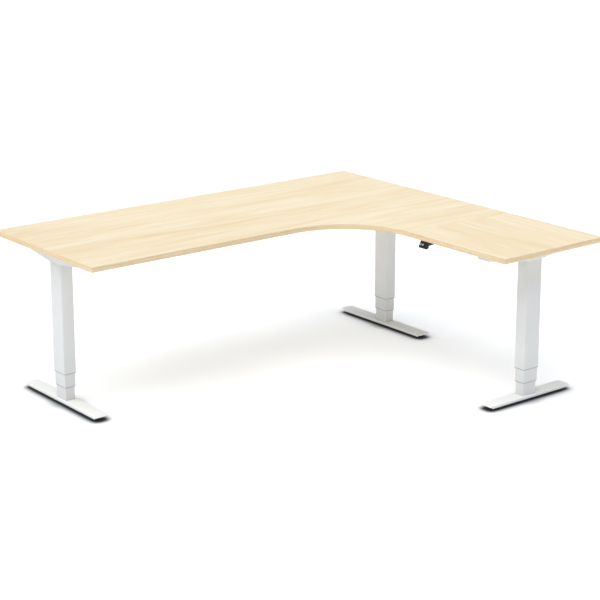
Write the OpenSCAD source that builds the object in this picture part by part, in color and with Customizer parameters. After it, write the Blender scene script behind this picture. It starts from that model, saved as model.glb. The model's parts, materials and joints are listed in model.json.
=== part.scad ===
// Height adjustable corner desk: an L-shaped top on three motor-driven telescopic legs.
// +Z is up and the floor is z = 0. The origin is on the floor under the middle of the top's outline.
// The long side runs along X, and the return runs towards -Y at the +X end. Sizes are millimetres.

/* [Desk top] */
// Overall length along the long side
top_w = 2000; // [1600:10:2400]
// Overall depth along the return's outer side
top_d = 1750; // [1450:10:2100]
// Height of the top surface above the floor, as it stands
desk_h = 712; // [590:1:860]
// Depth of the long side
main_d = 800; // [660:10:960]
// Width of the return
return_w = 600; // [500:10:720]
// Radius of the inner curve between the long side and the return
curve_r = 350; // [200:10:420]
// Straight run between the end of the curve and the seam of the two boards
seam_run = 20; // [15:5:60]
// Thickness of the boards
board_t = 22; // [18:1:30]
// Thickness of the band glued round the edges
band_t = 2; // [1:0.5:3]
// Gap left at the seam of the two boards
seam_gap = 0.4; // [0.2:0.1:1]

/* [Leg places] */
// Left leg's centre, in from the left edge
left_inset = 93; // [80:1:200]
// Corner leg's centre, in from the right edge
corner_inset = 64; // [55:1:150]
// Return leg's centre, in from the return's end
end_inset = 145; // [100:1:250]

/* [Columns] */
// Width of the outer tube, across the foot
tube_w = 60; // [55:1:72]
// Length of the outer tube, along the foot
tube_l = 90; // [80:1:108]
// Wall of every tube
tube_wall = 1.8; // [1.5:0.1:2.2]
// Gap between one tube and the next
tube_gap = 1.2; // [1:0.1:1.5]
// Outer corner radius of the outer tube
tube_r = 5; // [4:0.5:6]
// Clearance of every guide ring to the tube that slides past it
slide_fit = 0.3; // [0.2:0.05:0.4]
// Length of inner tube that shows at this height
inner_shown = 59; // [55:1:120]
// Length of middle tube that shows at this height
middle_shown = 61.5; // [55:0.5:120]
// How far each stage can still go down from this height
stage_down = 45; // [30:1:50]
// Shortest overlap of two tubes, at full height
overlap_min = 93; // [80:1:120]

/* [Feet] */
// Length of the left and the corner foot
foot_l = 590; // [490:5:710]
// Length of the return's foot
return_foot_l = 490; // [400:5:590]
// Width of a foot's top plate
foot_w = 66; // [60:1:80]
// Thickness of a foot's top plate
plate_t = 5; // [4:0.5:8]
// Height of the rail under the plate
rail_h = 8.6; // [8:0.2:14]
// Wall of the rail
rail_t = 2.5; // [2:0.5:4]
// How far the plate stands out past the rail at each side
plate_lip = 4; // [2:0.5:6]
// How far the plate stands out past the rail at each end
plate_ear = 15; // [8:1:25]
// Height of the black sole
sole_h = 8; // [5:0.5:9]
// Height of a levelling glide's disc
glide_h = 2; // [1.6:0.2:5]
// Diameter of a levelling glide's disc
glide_d = 40; // [30:1:50]

/* [Arms and beams] */
// Height of an arm where it holds the column
arm_h = 52; // [48:1:70]
// Height of an arm at its ends
arm_end_h = 16; // [12:1:24]
// Steel thickness of an arm
arm_t = 3; // [2:0.5:4]
// Gap between an arm and the column inside it
arm_fit = 0.3; // [0.2:0.1:0.5]
// Left and corner arms' ends, in from the front and back edges
main_arm_gap = 80; // [40:5:120]
// Return arm's ends, in from the return's two sides
return_arm_gap = 20; // [15:5:80]
// Width of a beam
beam_w = 50; // [40:1:54]
// Height of a beam
beam_h = 40; // [36:1:48]
// Wall of a beam
beam_wall = 2; // [1.5:0.5:3]

/* [Drive] */
// Height of the motor with its gearbox
motor_h = 106; // [90:1:127]
// Diameter of the driven spindle
spindle_d = 14; // [12:0.5:16]
// Outer diameter of the hollow spindle
hollow_d = 22; // [20:0.5:26]
// Radial running clearance of a spindle in its nut
nut_fit = 0.05; // [0.03:0.01:0.1]

/* [Controls] */
// Control panel's width along the desk's edge
panel_w = 50; // [46:1:70]
// Height of the control panel's face
panel_drop = 26; // [25:1:36]
// How far the foot of the control panel's face leans out past the desk's edge
panel_lean = 13; // [8:1:16]
// Control panel's middle, from the seam
panel_offset = 93; // [60:1:140]
// Side of a square button
button_s = 10.4; // [10:0.2:11]
// Length of the control box
box_l = 280; // [220:5:340]
// Width of the control box
box_w = 120; // [90:5:150]
// Height of the control box
box_h = 38; // [30:1:45]

/* [Hidden] */
$fn = 64;
LEFT = 0;
CORNER = 1;
RIGHT = 2;
eps = 0.01;

// outline of the top
right_x = top_w / 2;
back_y = top_d / 2;
inner_x = right_x - return_w;
front_y = back_y - main_d;
curve_x = inner_x - curve_r;
curve_y = front_y - curve_r;
seam_y = curve_y - seam_run;
under_z = desk_h - board_t;

// places of the legs: centre, turn about Z, and the side of the column that a beam meets
leg_x = [left_inset - right_x, right_x - corner_inset, right_x - return_w / 2];
leg_y = [back_y - main_d / 2, back_y - main_d / 2, end_inset - back_y];
leg_turn = [0, 0, 90];
beam_side = [1, -1, 1];
foot_len = [foot_l, foot_l, return_foot_l];
arm_half = [main_d / 2 - main_arm_gap, main_d / 2 - main_arm_gap, return_w / 2 - return_arm_gap];

// heights in a foot, from the floor up
sole_gap = 0.4;
sole_z = glide_h + sole_gap;
rail_z = sole_z + sole_h;
plate_z = rail_z + rail_h;
foot_top = plate_z + plate_t;
rail_w = foot_w - 2 * plate_lip;
stem_d = 8;
stem_fit = 0.1;
stem_top = plate_z - 2;
boss_d = 15;
sole_wall = 3;
plug_l = 12;
glide_inset = 45;

// foot screws and the base plate they hold
base_plate_t = 8;
foot_screw_d = 8;
foot_screw_x = tube_w / 4 - 1;
foot_screw_y = tube_l / 3;
foot_head_d = 13;
foot_head_h = 5;

// sizes of the three tubes: outer, middle, inner
stage_step = tube_wall + tube_gap;
tube_sizes = [for (s = [0:2]) [tube_w - 2 * s * stage_step, tube_l - 2 * s * stage_step, tube_r - s / 2]];
ring_lip = 2.5;
ring_sleeve = 12;
bush_l = 35;

// heights in a column, from the top down
arm_out = tube_w / 2 + arm_fit + arm_t;
outer_top = under_z - arm_t;
cap_t = 5;
motor_z = outer_top - cap_t - motor_h;
stop_gap = 4;
flange_top = motor_z - stage_down - stop_gap;
flange_t = 4.8;
flange_gap = 0.2;
middle_top = flange_top - flange_t - flange_gap;
middle_plate_t = 7;
nut_gap = 10;
nut_rim_t = 4;
nut_l = 30;
nut_top = middle_top - middle_plate_t - stage_down - nut_gap;
inner_top = nut_top - nut_rim_t;
nut_z = nut_top - nut_l;
middle_z = foot_top + inner_shown;
outer_z = middle_z + middle_shown;
stage_up = inner_top - overlap_min - middle_z;
spindle_end = 12;
drive_z = flange_top - nut_l - stage_up - spindle_end;
hollow_z = nut_z - stage_up - spindle_end;
journal_d = 10;
journal_l = 15;
gearbox_h = 40;
gearbox_w = tube_w - 10;
gearbox_l = tube_l - 14;
can_d = tube_w - 16;

// screws
wood_d = 5;
wood_l = 16;
wood_head_d = 10;
wood_head_h = 3;
tab_t = 3;
hole_fit = 0.2;
m6_d = 6;
m6_l = 16;
m6_head_d = 11;
m6_head_h = 4;
m6_hole_d = m6_d + 2 * hole_fit;
flange_plate_t = 4;
plate_back = 1;
frame_screw_y = tube_l / 2 - tube_r - 6;
frame_screw_z = under_z - arm_h / 2;
flange_half = frame_screw_y + 8;
beam_z = under_z - beam_h;
tee_y = leg_y[LEFT] - beam_w / 2;
tee_screw_x = beam_w / 2 + 9;
tee_screw_z = under_z - beam_h / 2;
tee_half = tee_screw_x + 8;
tee_drop = 6;

// hardware at the seam
seam_plate_w = 40;
seam_plate_l = 120;
seam_screw_x = 10;
seam_screw_y = 42;
dowel_d = 8;
dowel_l = 40;
dowel_fit = 0.1;
seam_plate_places = [for (k = [1/6, 1/3, 2/3, 5/6]) inner_x + k * return_w];
dowel_places = [for (k = [1/12, 1/4, 5/12, 7/12, 3/4, 11/12]) inner_x + k * return_w];

// control panel
panel_y = seam_y - panel_offset;
panel_tilt = atan2(panel_lean, panel_drop);
panel_wall = 2.5;
panel_body_l = 50;
panel_tab_l = 16;
panel_screw_y = panel_w / 2 - 10;
button_fit = 0.3;
button_up = 1;
button_travel = 1.2;
button_flange = 1;
button_flange_t = 1.2;
button_pitch = button_s + 2 * button_flange + 0.4;
button_z = -15.5;
button_first_y = panel_w / 2 - button_s / 2 - button_flange - panel_wall - 0.7;
panel_toe_in = 4;
panel_toe_drop = 4.5;
panel_back_x = -2;
panel_neck_x = 3;
panel_neck_z = -15;
panel_tail_z = -12;
panel_corner_r = 7;

// control box
box_x = top_w / 20;
box_y = leg_y[LEFT] + beam_w / 2 + box_w / 2 + 80;
box_mid_z = under_z - box_h / 2 - 1;
box_r = 6;
box_tab_l = 14;
socket_pitch = 44;
socket_w = 16;
socket_h = 12;
socket_deep = 14;
inlet_w = 24;
inlet_h = 20;
inlet_deep = 15;
inlet_in = 10;

// wood screws under the boards, as points in plan
arm_screw_in = 30;
arm_screw_step = 100;
function turned(leg, p) = leg_turn[leg] == 0 ? p : [-p[1], p[0]];
function at_leg_plan(leg, p) = [leg_x[leg], leg_y[leg]] + turned(leg, p);
function arm_screws(leg) =
    [for (s = [-1, 1], k = [0, 1])
        at_leg_plan(leg, [0, s * (arm_half[leg] - arm_screw_in - k * arm_screw_step)])];
function seam_screws(side) =
    [for (x = seam_plate_places, s = [-1, 1]) [x + s * seam_screw_x, seam_y + side * seam_screw_y]];
panel_screws = [for (s = [-1, 1]) [inner_x + panel_body_l + panel_tab_l / 2, panel_y + s * panel_screw_y]];
box_screws = [for (s = [-1, 1], t = [-1, 1])
    [box_x + s * (box_l / 2 + box_tab_l / 2), box_y + t * (box_w / 2 - 2 * box_r)]];
main_screws = concat(arm_screws(LEFT), arm_screws(CORNER), seam_screws(1), box_screws);
return_screws = concat(arm_screws(RIGHT), seam_screws(-1), panel_screws);

// ---------- shared shapes ----------

// a rectangle with round corners, centred
module round_rect(w, l, r) {
    square([w - 2 * r, l], center = true);
    square([w, l - 2 * r], center = true);
    for (sx = [-1, 1], sy = [-1, 1])
        translate([sx * (w / 2 - r), sy * (l / 2 - r)]) circle(r);
}

// a ring between two such rectangles
module round_ring(w, l, r, w_in, l_in, r_in) {
    difference() {
        round_rect(w, l, r);
        round_rect(w_in, l_in, r_in);
    }
}

// a stadium along Y
module stadium(w, l) {
    square([w, l - w], center = true);
    for (s = [-1, 1]) translate([0, s * (l - w) / 2]) circle(w / 2);
}

// moves a piece drawn at the origin to its leg
module at_leg(leg) {
    translate([leg_x[leg], leg_y[leg], 0]) rotate([0, 0, leg_turn[leg]]) children();
}

// puts copies at points in plan
module at_points(points, z) {
    for (p = points) translate([p[0], p[1], z]) children();
}

// ---------- the top ----------

// whole outline of the long board, drawn in by a margin all round but at the seam
module main_outline(margin) {
    translate([margin - right_x, front_y + margin]) square([top_w - 2 * margin, main_d - 2 * margin]);
    translate([inner_x + margin, seam_y]) square([return_w - 2 * margin, back_y - margin - seam_y]);
    difference() {
        translate([curve_x, curve_y]) square(curve_r + margin);
        translate([curve_x, curve_y]) circle(curve_r + margin, $fn = 180);
    }
}

// outline of the return board, drawn in by a margin all round but at the seam
module return_outline(margin) {
    translate([inner_x + margin, margin - back_y])
        square([return_w - 2 * margin, seam_y - seam_gap + back_y - margin]);
}

module screw_holes(points) {
    at_points(points, under_z - eps) cylinder(d = wood_d + 2 * hole_fit, h = wood_l - tab_t + 1);
}

module dowel_holes() {
    for (x = dowel_places)
        translate([x, seam_y - seam_gap / 2, under_z + board_t / 2]) rotate([90, 0, 0])
            cylinder(d = dowel_d + 2 * dowel_fit, h = dowel_l + 2, center = true);
}

// chipboard with a birch face on both sides
module main_board() {
    color("wheat") difference() {
        translate([0, 0, under_z]) linear_extrude(board_t) main_outline(band_t);
        screw_holes(main_screws);
        dowel_holes();
    }
}

module return_board() {
    color("wheat") difference() {
        translate([0, 0, under_z]) linear_extrude(board_t) return_outline(band_t);
        screw_holes(return_screws);
        dowel_holes();
    }
}

// plastic strips glued round the boards' edges
module main_edge_band() {
    color("burlywood") translate([0, 0, under_z]) linear_extrude(board_t) difference() {
        main_outline(0);
        main_outline(band_t);
        translate([inner_x + band_t, seam_y - 1]) square([return_w - 2 * band_t, 2]);
    }
}

module return_edge_band() {
    color("burlywood") translate([0, 0, under_z]) linear_extrude(board_t) difference() {
        return_outline(0);
        return_outline(band_t);
    }
}

// beech dowels that line the two boards up
module seam_dowels() {
    color("tan") for (x = dowel_places)
        translate([x, seam_y - seam_gap / 2, under_z + board_t / 2]) rotate([90, 0, 0])
            cylinder(d = dowel_d, h = dowel_l, center = true);
}

// flat steel plates that hold the two boards together from below
module seam_plates() {
    color("silver") difference() {
        for (x = seam_plate_places)
            translate([x, seam_y, under_z - tab_t]) linear_extrude(tab_t)
                round_rect(seam_plate_w, seam_plate_l, 4);
        at_points(concat(seam_screws(1), seam_screws(-1)), under_z - tab_t - 1)
            cylinder(d = wood_d + 2 * hole_fit, h = tab_t + 2);
    }
}

// pan-head wood screws, all of one size
module board_screws() {
    color("silver") at_points(concat(main_screws, return_screws), under_z - tab_t) difference() {
        union() {
            cylinder(d = wood_d, h = wood_l);
            translate([0, 0, -wood_head_h]) cylinder(d = wood_head_d, h = wood_head_h);
        }
        translate([0, 0, -wood_head_h - 1]) cylinder(d = 4, h = 3, $fn = 6);
    }
}

// ---------- arms, beams and their screws ----------

// holes for the two screws on one side of a column, drawn in the leg's own frame
module side_holes(side, from_x, to_x) {
    for (s = [-1, 1])
        translate([side * from_x, s * frame_screw_y, frame_screw_z]) rotate([0, side * 90, 0])
            cylinder(d = m6_hole_d, h = to_x - from_x);
}

// tapered channel, open below, that carries the boards and holds the column
module arm(leg) {
    half = arm_half[leg];
    flat = tube_l / 2 + 5;
    color("white") at_leg(leg) difference() {
        translate([-arm_out, 0, under_z]) rotate([90, 0, 90]) linear_extrude(2 * arm_out) polygon([
            [-half, 0], [half, 0], [half, -arm_end_h], [flat, -arm_h], [-flat, -arm_h], [-half, -arm_end_h]
        ]);
        translate([arm_t - arm_out, arm_t - half, under_z - arm_t - arm_h])
            cube([2 * (arm_out - arm_t), 2 * (half - arm_t), arm_h]);
        for (side = [-1, 1]) side_holes(side, tube_w / 2, arm_out + 1);
        for (s = [-1, 1], k = [0, 1])
            translate([0, s * (half - arm_screw_in - k * arm_screw_step), under_z - arm_t - 1])
                cylinder(d = wood_d + 2 * hole_fit, h = arm_t + 2);
    }
}

// a beam's end plate in the leg's own frame
module beam_end(side) {
    difference() {
        translate([side * (arm_out + flange_plate_t / 2), 0, under_z - arm_h / 2])
            cube([flange_plate_t, 2 * flange_half, arm_h - 2 * plate_back], center = true);
        side_holes(side, arm_out - 1, arm_out + flange_plate_t + 1);
    }
}

// square-cornered steel tube along Y, from one end to the other
module beam_tube(from_y, to_y) {
    translate([0, from_y, beam_z + beam_h / 2]) rotate([-90, 0, 0]) linear_extrude(to_y - from_y)
        round_ring(beam_w, beam_h, 3, beam_w - 2 * beam_wall, beam_h - 2 * beam_wall, 1);
}

// joins the left arm and the corner arm
module main_beam() {
    inset = arm_out + flange_plate_t;
    color("white") {
        difference() {
            translate([0, leg_y[LEFT], 0]) rotate([0, 0, -90])
                beam_tube(leg_x[LEFT] + inset, leg_x[CORNER] - inset);
            tee_holes();
        }
        for (leg = [LEFT, CORNER]) at_leg(leg) beam_end(beam_side[leg]);
    }
}

// holes for the two screws of the return beam's far plate
module tee_holes() {
    for (s = [-1, 1])
        translate([leg_x[RIGHT] + s * tee_screw_x, tee_y - flange_plate_t - 1, tee_screw_z])
            rotate([-90, 0, 0]) cylinder(d = m6_hole_d, h = flange_plate_t + beam_wall + 2);
}

// joins the return's arm and the main beam
module return_beam() {
    color("white") {
        translate([leg_x[RIGHT], 0, 0])
            beam_tube(leg_y[RIGHT] + arm_out + flange_plate_t, tee_y - flange_plate_t);
        at_leg(RIGHT) beam_end(beam_side[RIGHT]);
        difference() {
            translate([leg_x[RIGHT] - tee_half, tee_y - flange_plate_t, beam_z - tee_drop])
                cube([2 * tee_half, flange_plate_t, beam_h + tee_drop - plate_back]);
            tee_holes();
        }
    }
}

// a pan-head machine screw with its head's underside at the origin and its shank along +Z
module m6_screw() {
    difference() {
        union() {
            cylinder(d = m6_d, h = m6_l);
            translate([0, 0, -m6_head_h]) cylinder(d = m6_head_d, h = m6_head_h);
        }
        translate([0, 0, -m6_head_h - 1]) cylinder(d = 4.6, h = 3.5, $fn = 6);
    }
}

// machine screws that hold the arms, the columns and the beams together
module frame_screws() {
    color("silver") {
        for (leg = [LEFT, CORNER, RIGHT], side = [-1, 1], s = [-1, 1]) {
            seat = arm_out + (side == beam_side[leg] ? flange_plate_t : 0);
            at_leg(leg) translate([side * seat, s * frame_screw_y, frame_screw_z]) rotate([0, -side * 90, 0])
                m6_screw();
        }
        for (s = [-1, 1])
            translate([leg_x[RIGHT] + s * tee_screw_x, tee_y - flange_plate_t, tee_screw_z])
                rotate([-90, 0, 0]) m6_screw();
    }
}

// ---------- columns ----------

// one tube of the column, between two heights
module stage_tube(stage, from_z, to_z) {
    size = tube_sizes[stage];
    translate([0, 0, from_z]) linear_extrude(to_z - from_z)
        round_ring(size[0], size[1], size[2],
            size[0] - 2 * tube_wall, size[1] - 2 * tube_wall, size[2] - tube_wall);
}

// the flat filling of a tube, for plates welded inside it
module stage_plate(stage, from_z, thick) {
    size = tube_sizes[stage];
    translate([0, 0, from_z]) linear_extrude(thick) round_rect(size[0] - 1, size[1] - 1, size[2] - 0.5);
}

// the ring at a tube's lower end: a lip under the tube and a sleeve inside it
module lower_ring(stage, from_z) {
    size = tube_sizes[stage];
    next = tube_sizes[stage + 1];
    pass = 2 * slide_fit;
    translate([0, 0, from_z]) linear_extrude(ring_lip)
        round_ring(size[0], size[1], size[2], next[0] + pass, next[1] + pass, next[2] + slide_fit);
    translate([0, 0, from_z + ring_lip - eps]) linear_extrude(ring_sleeve)
        round_ring(size[0] - 2 * tube_wall, size[1] - 2 * tube_wall, size[2] - tube_wall,
            next[0] + pass, next[1] + pass, next[2] + slide_fit);
}

// the ring outside a tube's upper end, which slides inside the next larger tube
module upper_ring(stage, top_z) {
    size = tube_sizes[stage];
    around = tube_sizes[stage - 1];
    take = 2 * (tube_wall + slide_fit);
    translate([0, 0, top_z - bush_l]) linear_extrude(bush_l)
        round_ring(around[0] - take, around[1] - take, around[2] - tube_wall, size[0], size[1], size[2]);
}

// outer tube with the plate that closes its top
module outer_tube(leg) {
    color("white") at_leg(leg) difference() {
        union() {
            stage_tube(0, outer_z + ring_lip, outer_top);
            stage_plate(0, outer_top - cap_t, cap_t);
        }
        for (side = [-1, 1]) side_holes(side, tube_w / 2 - tube_wall - 1, tube_w / 2 + 1);
    }
}

// middle tube with the plate that carries the hollow spindle
module middle_tube(leg) {
    color("white") at_leg(leg) difference() {
        union() {
            stage_tube(1, middle_z + ring_lip, middle_top);
            stage_plate(1, middle_top - middle_plate_t, middle_plate_t);
        }
        translate([0, 0, middle_top - middle_plate_t - 1])
            cylinder(d = hollow_d + 4 * nut_fit, h = middle_plate_t + 2);
    }
}

// inner tube with the threaded plate at its foot
module inner_tube(leg) {
    color("white") at_leg(leg) difference() {
        union() {
            stage_tube(2, foot_top, inner_top);
            stage_plate(2, foot_top, base_plate_t);
        }
        foot_screw_places(foot_top - 1) cylinder(d = foot_screw_d + hole_fit, h = base_plate_t + 2);
    }
}

// white plastic rings that guide the tubes
module outer_guide_rings() {
    color("whitesmoke") for (leg = [LEFT, CORNER, RIGHT]) at_leg(leg) lower_ring(0, outer_z);
}

module middle_guides(leg) {
    color("whitesmoke") at_leg(leg) {
        lower_ring(1, middle_z);
        upper_ring(1, middle_top);
    }
}

module inner_guide(leg) {
    color("whitesmoke") at_leg(leg) upper_ring(2, inner_top);
}

// ---------- drive inside a column ----------

// motor with its gearbox, hung from the outer tube's top plate
module motor(leg) {
    can_h = motor_h - gearbox_h - 6;
    color("dimgray") at_leg(leg) translate([0, 0, motor_z]) difference() {
        union() {
            linear_extrude(gearbox_h) round_rect(gearbox_w, gearbox_l, 6);
            translate([0, 0, gearbox_h - eps]) cylinder(d = can_d, h = can_h + 2 * eps);
            translate([0, 0, gearbox_h + can_h]) cylinder(d = can_d - 14, h = 6);
        }
        translate([0, 0, -1]) cylinder(d = journal_d + 2 * nut_fit, h = journal_l + 2);
    }
}

// spindle that the motor turns
module drive_spindle(leg) {
    color("lightsteelblue") at_leg(leg) {
        translate([0, 0, drive_z]) cylinder(d = spindle_d, h = motor_z - 1 - drive_z);
        translate([0, 0, motor_z - 1 - eps]) cylinder(d = journal_d, h = journal_l);
    }
}

// hollow spindle, with the driven spindle's nut in its head, hung on the middle tube's top plate
module hollow_spindle(leg) {
    bore = spindle_d + 2;
    color("slategray") at_leg(leg) difference() {
        union() {
            translate([0, 0, hollow_z]) cylinder(d = hollow_d, h = flange_top - hollow_z);
            translate([0, 0, flange_top - flange_t]) cylinder(d = hollow_d + 14, h = flange_t);
        }
        translate([0, 0, hollow_z - 1]) cylinder(d = bore, h = flange_top - nut_l - hollow_z + 1);
        translate([0, 0, flange_top - nut_l - 1]) cylinder(d = spindle_d + 2 * nut_fit, h = nut_l + 2);
    }
}

// nut of the hollow spindle, seated in the inner tube's upper end
module spindle_nut(leg) {
    size = tube_sizes[2];
    seat = 2 * (tube_wall + 0.1);
    color("ivory") at_leg(leg) difference() {
        union() {
            translate([0, 0, nut_z]) linear_extrude(nut_l - nut_rim_t + eps)
                round_rect(size[0] - seat, size[1] - seat, size[2] - tube_wall);
            translate([0, 0, inner_top]) linear_extrude(nut_rim_t) round_rect(size[0], size[1], size[2]);
        }
        translate([0, 0, nut_z - 1]) cylinder(d = hollow_d + 2 * nut_fit, h = nut_l + 2);
        for (s = [-1, 1]) translate([0, s * (size[1] / 2 - 16), nut_z - 1]) cylinder(d = 14, h = nut_l + 2);
    }
}

// ---------- feet ----------

module foot_screw_places(z) {
    for (sx = [-1, 1], sy = [-1, 1]) translate([sx * foot_screw_x, sy * foot_screw_y, z]) children();
}

module glide_places(leg, z) {
    for (s = [-1, 1]) translate([0, s * (foot_len[leg] / 2 - glide_inset), z]) children();
}

// welded foot: a top plate on a rail, with a threaded boss for each glide
module foot(leg) {
    rail_l = foot_len[leg] - 2 * plate_ear;
    color("white") at_leg(leg) difference() {
        union() {
            translate([0, 0, plate_z]) linear_extrude(plate_t) round_rect(foot_w, foot_len[leg], 2);
            for (s = [-1, 1])
                translate([s * (rail_w - rail_t) / 2, 0, rail_z + (rail_h + eps) / 2])
                    cube([rail_t, rail_l, rail_h + eps], center = true);
            glide_places(leg, rail_z + 1) cylinder(d = boss_d, h = rail_h);
        }
        glide_places(leg, rail_z) cylinder(d = stem_d + 2 * stem_fit, h = rail_h);
        foot_screw_places(plate_z - 1) cylinder(d = foot_screw_d + 1, h = plate_t + 2);
    }
}

// black moulded sole: a round-ended tray under the rail, with a plug in each end of it
module sole(leg) {
    rail_l = foot_len[leg] - 2 * plate_ear;
    color("black") at_leg(leg) difference() {
        union() {
            translate([0, 0, sole_z]) linear_extrude(sole_h) stadium(rail_w - 1, rail_l);
            for (s = [-1, 1])
                translate([0, s * (rail_l / 2 - plug_l), rail_z + rail_h / 2 - 0.1])
                    cube([rail_w - 2 * rail_t - 0.4, plug_l, rail_h - 0.2 + 2 * eps], center = true);
        }
        translate([0, 0, sole_z + sole_wall]) linear_extrude(sole_h)
            square([rail_w - 1 - 2 * sole_wall, rail_l - rail_w - 20], center = true);
        glide_places(leg, sole_z - 1) cylinder(d = boss_d + 1, h = sole_h + rail_h);
    }
}

// screws that hold the column to the foot, from below
module foot_screws(leg) {
    color("silver") at_leg(leg) foot_screw_places(plate_z) difference() {
        union() {
            cylinder(d = foot_screw_d, h = plate_t + base_plate_t - 1);
            translate([0, 0, -foot_head_h]) cylinder(d = foot_head_d, h = foot_head_h);
        }
        translate([0, 0, -foot_head_h - 1]) cylinder(d = 6, h = 4, $fn = 6);
    }
}

// levelling glide: a disc on a threaded stem; side is 1 for the back end of the foot and -1 for the front
module glide(leg, side) {
    end = leg_turn[leg] == 0 ? side : -side;
    color("dimgray") at_leg(leg) translate([0, end * (foot_len[leg] / 2 - glide_inset), 0]) {
        cylinder(d = glide_d, h = glide_h);
        translate([0, 0, glide_h - eps]) cylinder(d = stem_d, h = stem_top - glide_h);
    }
}

// ---------- controls ----------

// the face's own frame: origin at its top edge, -X outwards, -Z down the face
module on_face() {
    translate([inner_x, panel_y, under_z]) rotate([0, panel_tilt, 0]) children();
}

// the panel's face and the back of its lip, drawn in by a wall, as x at a height z
function face_x(wall, z) = wall / cos(panel_tilt) + z * panel_lean / panel_drop;
function lip_back_x(wall, z) = panel_back_x - 1.05 * wall + (z + panel_drop + panel_toe_drop)
    * (panel_neck_x - panel_back_x) / (panel_drop + panel_toe_drop + panel_neck_z);

// outline of the control panel's side, drawn in by a wall: a deep lip in front of a flat body
module panel_side(wall) {
    top_z = wall ? 1 : 0;
    low_z = wall - panel_drop - panel_toe_drop;
    polygon([
        [face_x(wall, top_z), top_z],
        [face_x(wall, wall / 2 - panel_drop), wall / 2 - panel_drop],
        [wall - panel_lean + 1, 0.9 * wall - panel_drop - 3],
        [wall - panel_lean + panel_toe_in, low_z],
        [lip_back_x(wall, low_z), low_z],
        [lip_back_x(wall, panel_neck_z + wall), panel_neck_z + wall],
        [panel_body_l - wall, panel_tail_z + wall],
        [panel_body_l - wall, top_z]
    ]);
}

// the panel as seen from the front, drawn in by a wall: its two lower corners are round
module panel_front(wall) {
    translate([inner_x - 30, panel_y, under_z]) rotate([90, 0, 90]) linear_extrude(panel_body_l + 60)
        round_rect(panel_w - 2 * wall, 2 * (panel_drop + panel_toe_drop - wall), panel_corner_r - wall);
}

// the panel's shape without its tab, drawn in by a wall
module panel_form(wall) {
    intersection() {
        translate([inner_x, panel_y + panel_w / 2 - wall, under_z]) rotate([90, 0, 0])
            linear_extrude(panel_w - 2 * wall) panel_side(wall);
        panel_front(wall);
    }
}

module button_place(k) {
    on_face() translate([0, button_first_y - k * button_pitch, button_z]) children();
}

// moulded housing, open against the board, with a screwed tab behind
module control_panel() {
    color("#202022") difference() {
        union() {
            panel_form(0);
            translate([inner_x + panel_body_l - 1, panel_y - panel_w / 2, under_z - tab_t])
                cube([panel_tab_l + 1, panel_w, tab_t]);
        }
        panel_form(panel_wall);
        for (k = [0, 1]) button_place(k)
            cube([20, button_s + 2 * button_fit, button_s + 2 * button_fit], center = true);
        at_points(panel_screws, under_z - tab_t - 1) cylinder(d = wood_d + 2 * hole_fit, h = tab_t + 2);
    }
}

// a button with the flange that keeps it in
module button(k) {
    color("#2b2b2e") button_place(k) {
        translate([-button_up, -button_s / 2, -button_s / 2])
            cube([button_up + panel_wall + button_fit + eps, button_s, button_s]);
        translate([panel_wall + button_fit, -button_s / 2 - button_flange, -button_s / 2 - button_flange])
            cube([button_flange_t, button_s + 2 * button_flange, button_s + 2 * button_flange]);
    }
}

module up_button() {
    button(0);
}

module down_button() {
    button(1);
}

// control box with its sockets along the front and a screwed tab at each end
module control_box() {
    color("#3a3a3d") difference() {
        union() {
            translate([box_x, box_y, under_z - box_h]) linear_extrude(box_h) round_rect(box_l, box_w, box_r);
            translate([box_x, box_y, under_z - tab_t]) linear_extrude(tab_t)
                round_rect(box_l + 2 * box_tab_l, box_w - 2 * box_r, 4);
        }
        for (k = [-2:2])
            translate([box_x + k * socket_pitch, box_y - box_w / 2 + (socket_deep - 1) / 2, box_mid_z])
                cube([socket_w, socket_deep + 1, socket_h], center = true);
        translate([box_x + box_l / 2 - inlet_in - inlet_w / 2, box_y + box_w / 2 - (inlet_deep - 1) / 2, box_mid_z])
            cube([inlet_w, inlet_deep + 1, inlet_h], center = true);
        at_points(box_screws, under_z - tab_t - 1) cylinder(d = wood_d + 2 * hole_fit, h = tab_t + 2);
    }
}

// ---------- the nodes ----------

main_board();
return_board();
main_edge_band();
return_edge_band();
seam_dowels();
seam_plates();
board_screws();
frame_screws();
main_beam();
return_beam();
control_box();
control_panel();
up_button();
down_button();
outer_guide_rings();
arm(LEFT);  // left_arm
arm(CORNER);  // corner_arm
arm(RIGHT);  // right_arm
outer_tube(LEFT);  // left_outer_tube
outer_tube(CORNER);  // corner_outer_tube
outer_tube(RIGHT);  // right_outer_tube
middle_tube(LEFT);  // left_middle_tube
middle_tube(CORNER);  // corner_middle_tube
middle_tube(RIGHT);  // right_middle_tube
inner_tube(LEFT);  // left_inner_tube
inner_tube(CORNER);  // corner_inner_tube
inner_tube(RIGHT);  // right_inner_tube
middle_guides(LEFT);  // left_middle_guides
middle_guides(CORNER);  // corner_middle_guides
middle_guides(RIGHT);  // right_middle_guides
inner_guide(LEFT);  // left_inner_guide
inner_guide(CORNER);  // corner_inner_guide
inner_guide(RIGHT);  // right_inner_guide
motor(LEFT);  // left_motor
motor(CORNER);  // corner_motor
motor(RIGHT);  // right_motor
drive_spindle(LEFT);  // left_drive_spindle
drive_spindle(CORNER);  // corner_drive_spindle
drive_spindle(RIGHT);  // right_drive_spindle
hollow_spindle(LEFT);  // left_hollow_spindle
hollow_spindle(CORNER);  // corner_hollow_spindle
hollow_spindle(RIGHT);  // right_hollow_spindle
spindle_nut(LEFT);  // left_spindle_nut
spindle_nut(CORNER);  // corner_spindle_nut
spindle_nut(RIGHT);  // right_spindle_nut
foot(LEFT);  // left_foot
foot(CORNER);  // corner_foot
foot(RIGHT);  // right_foot
sole(LEFT);  // left_sole
sole(CORNER);  // corner_sole
sole(RIGHT);  // right_sole
foot_screws(LEFT);  // left_foot_screws
foot_screws(CORNER);  // corner_foot_screws
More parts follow.
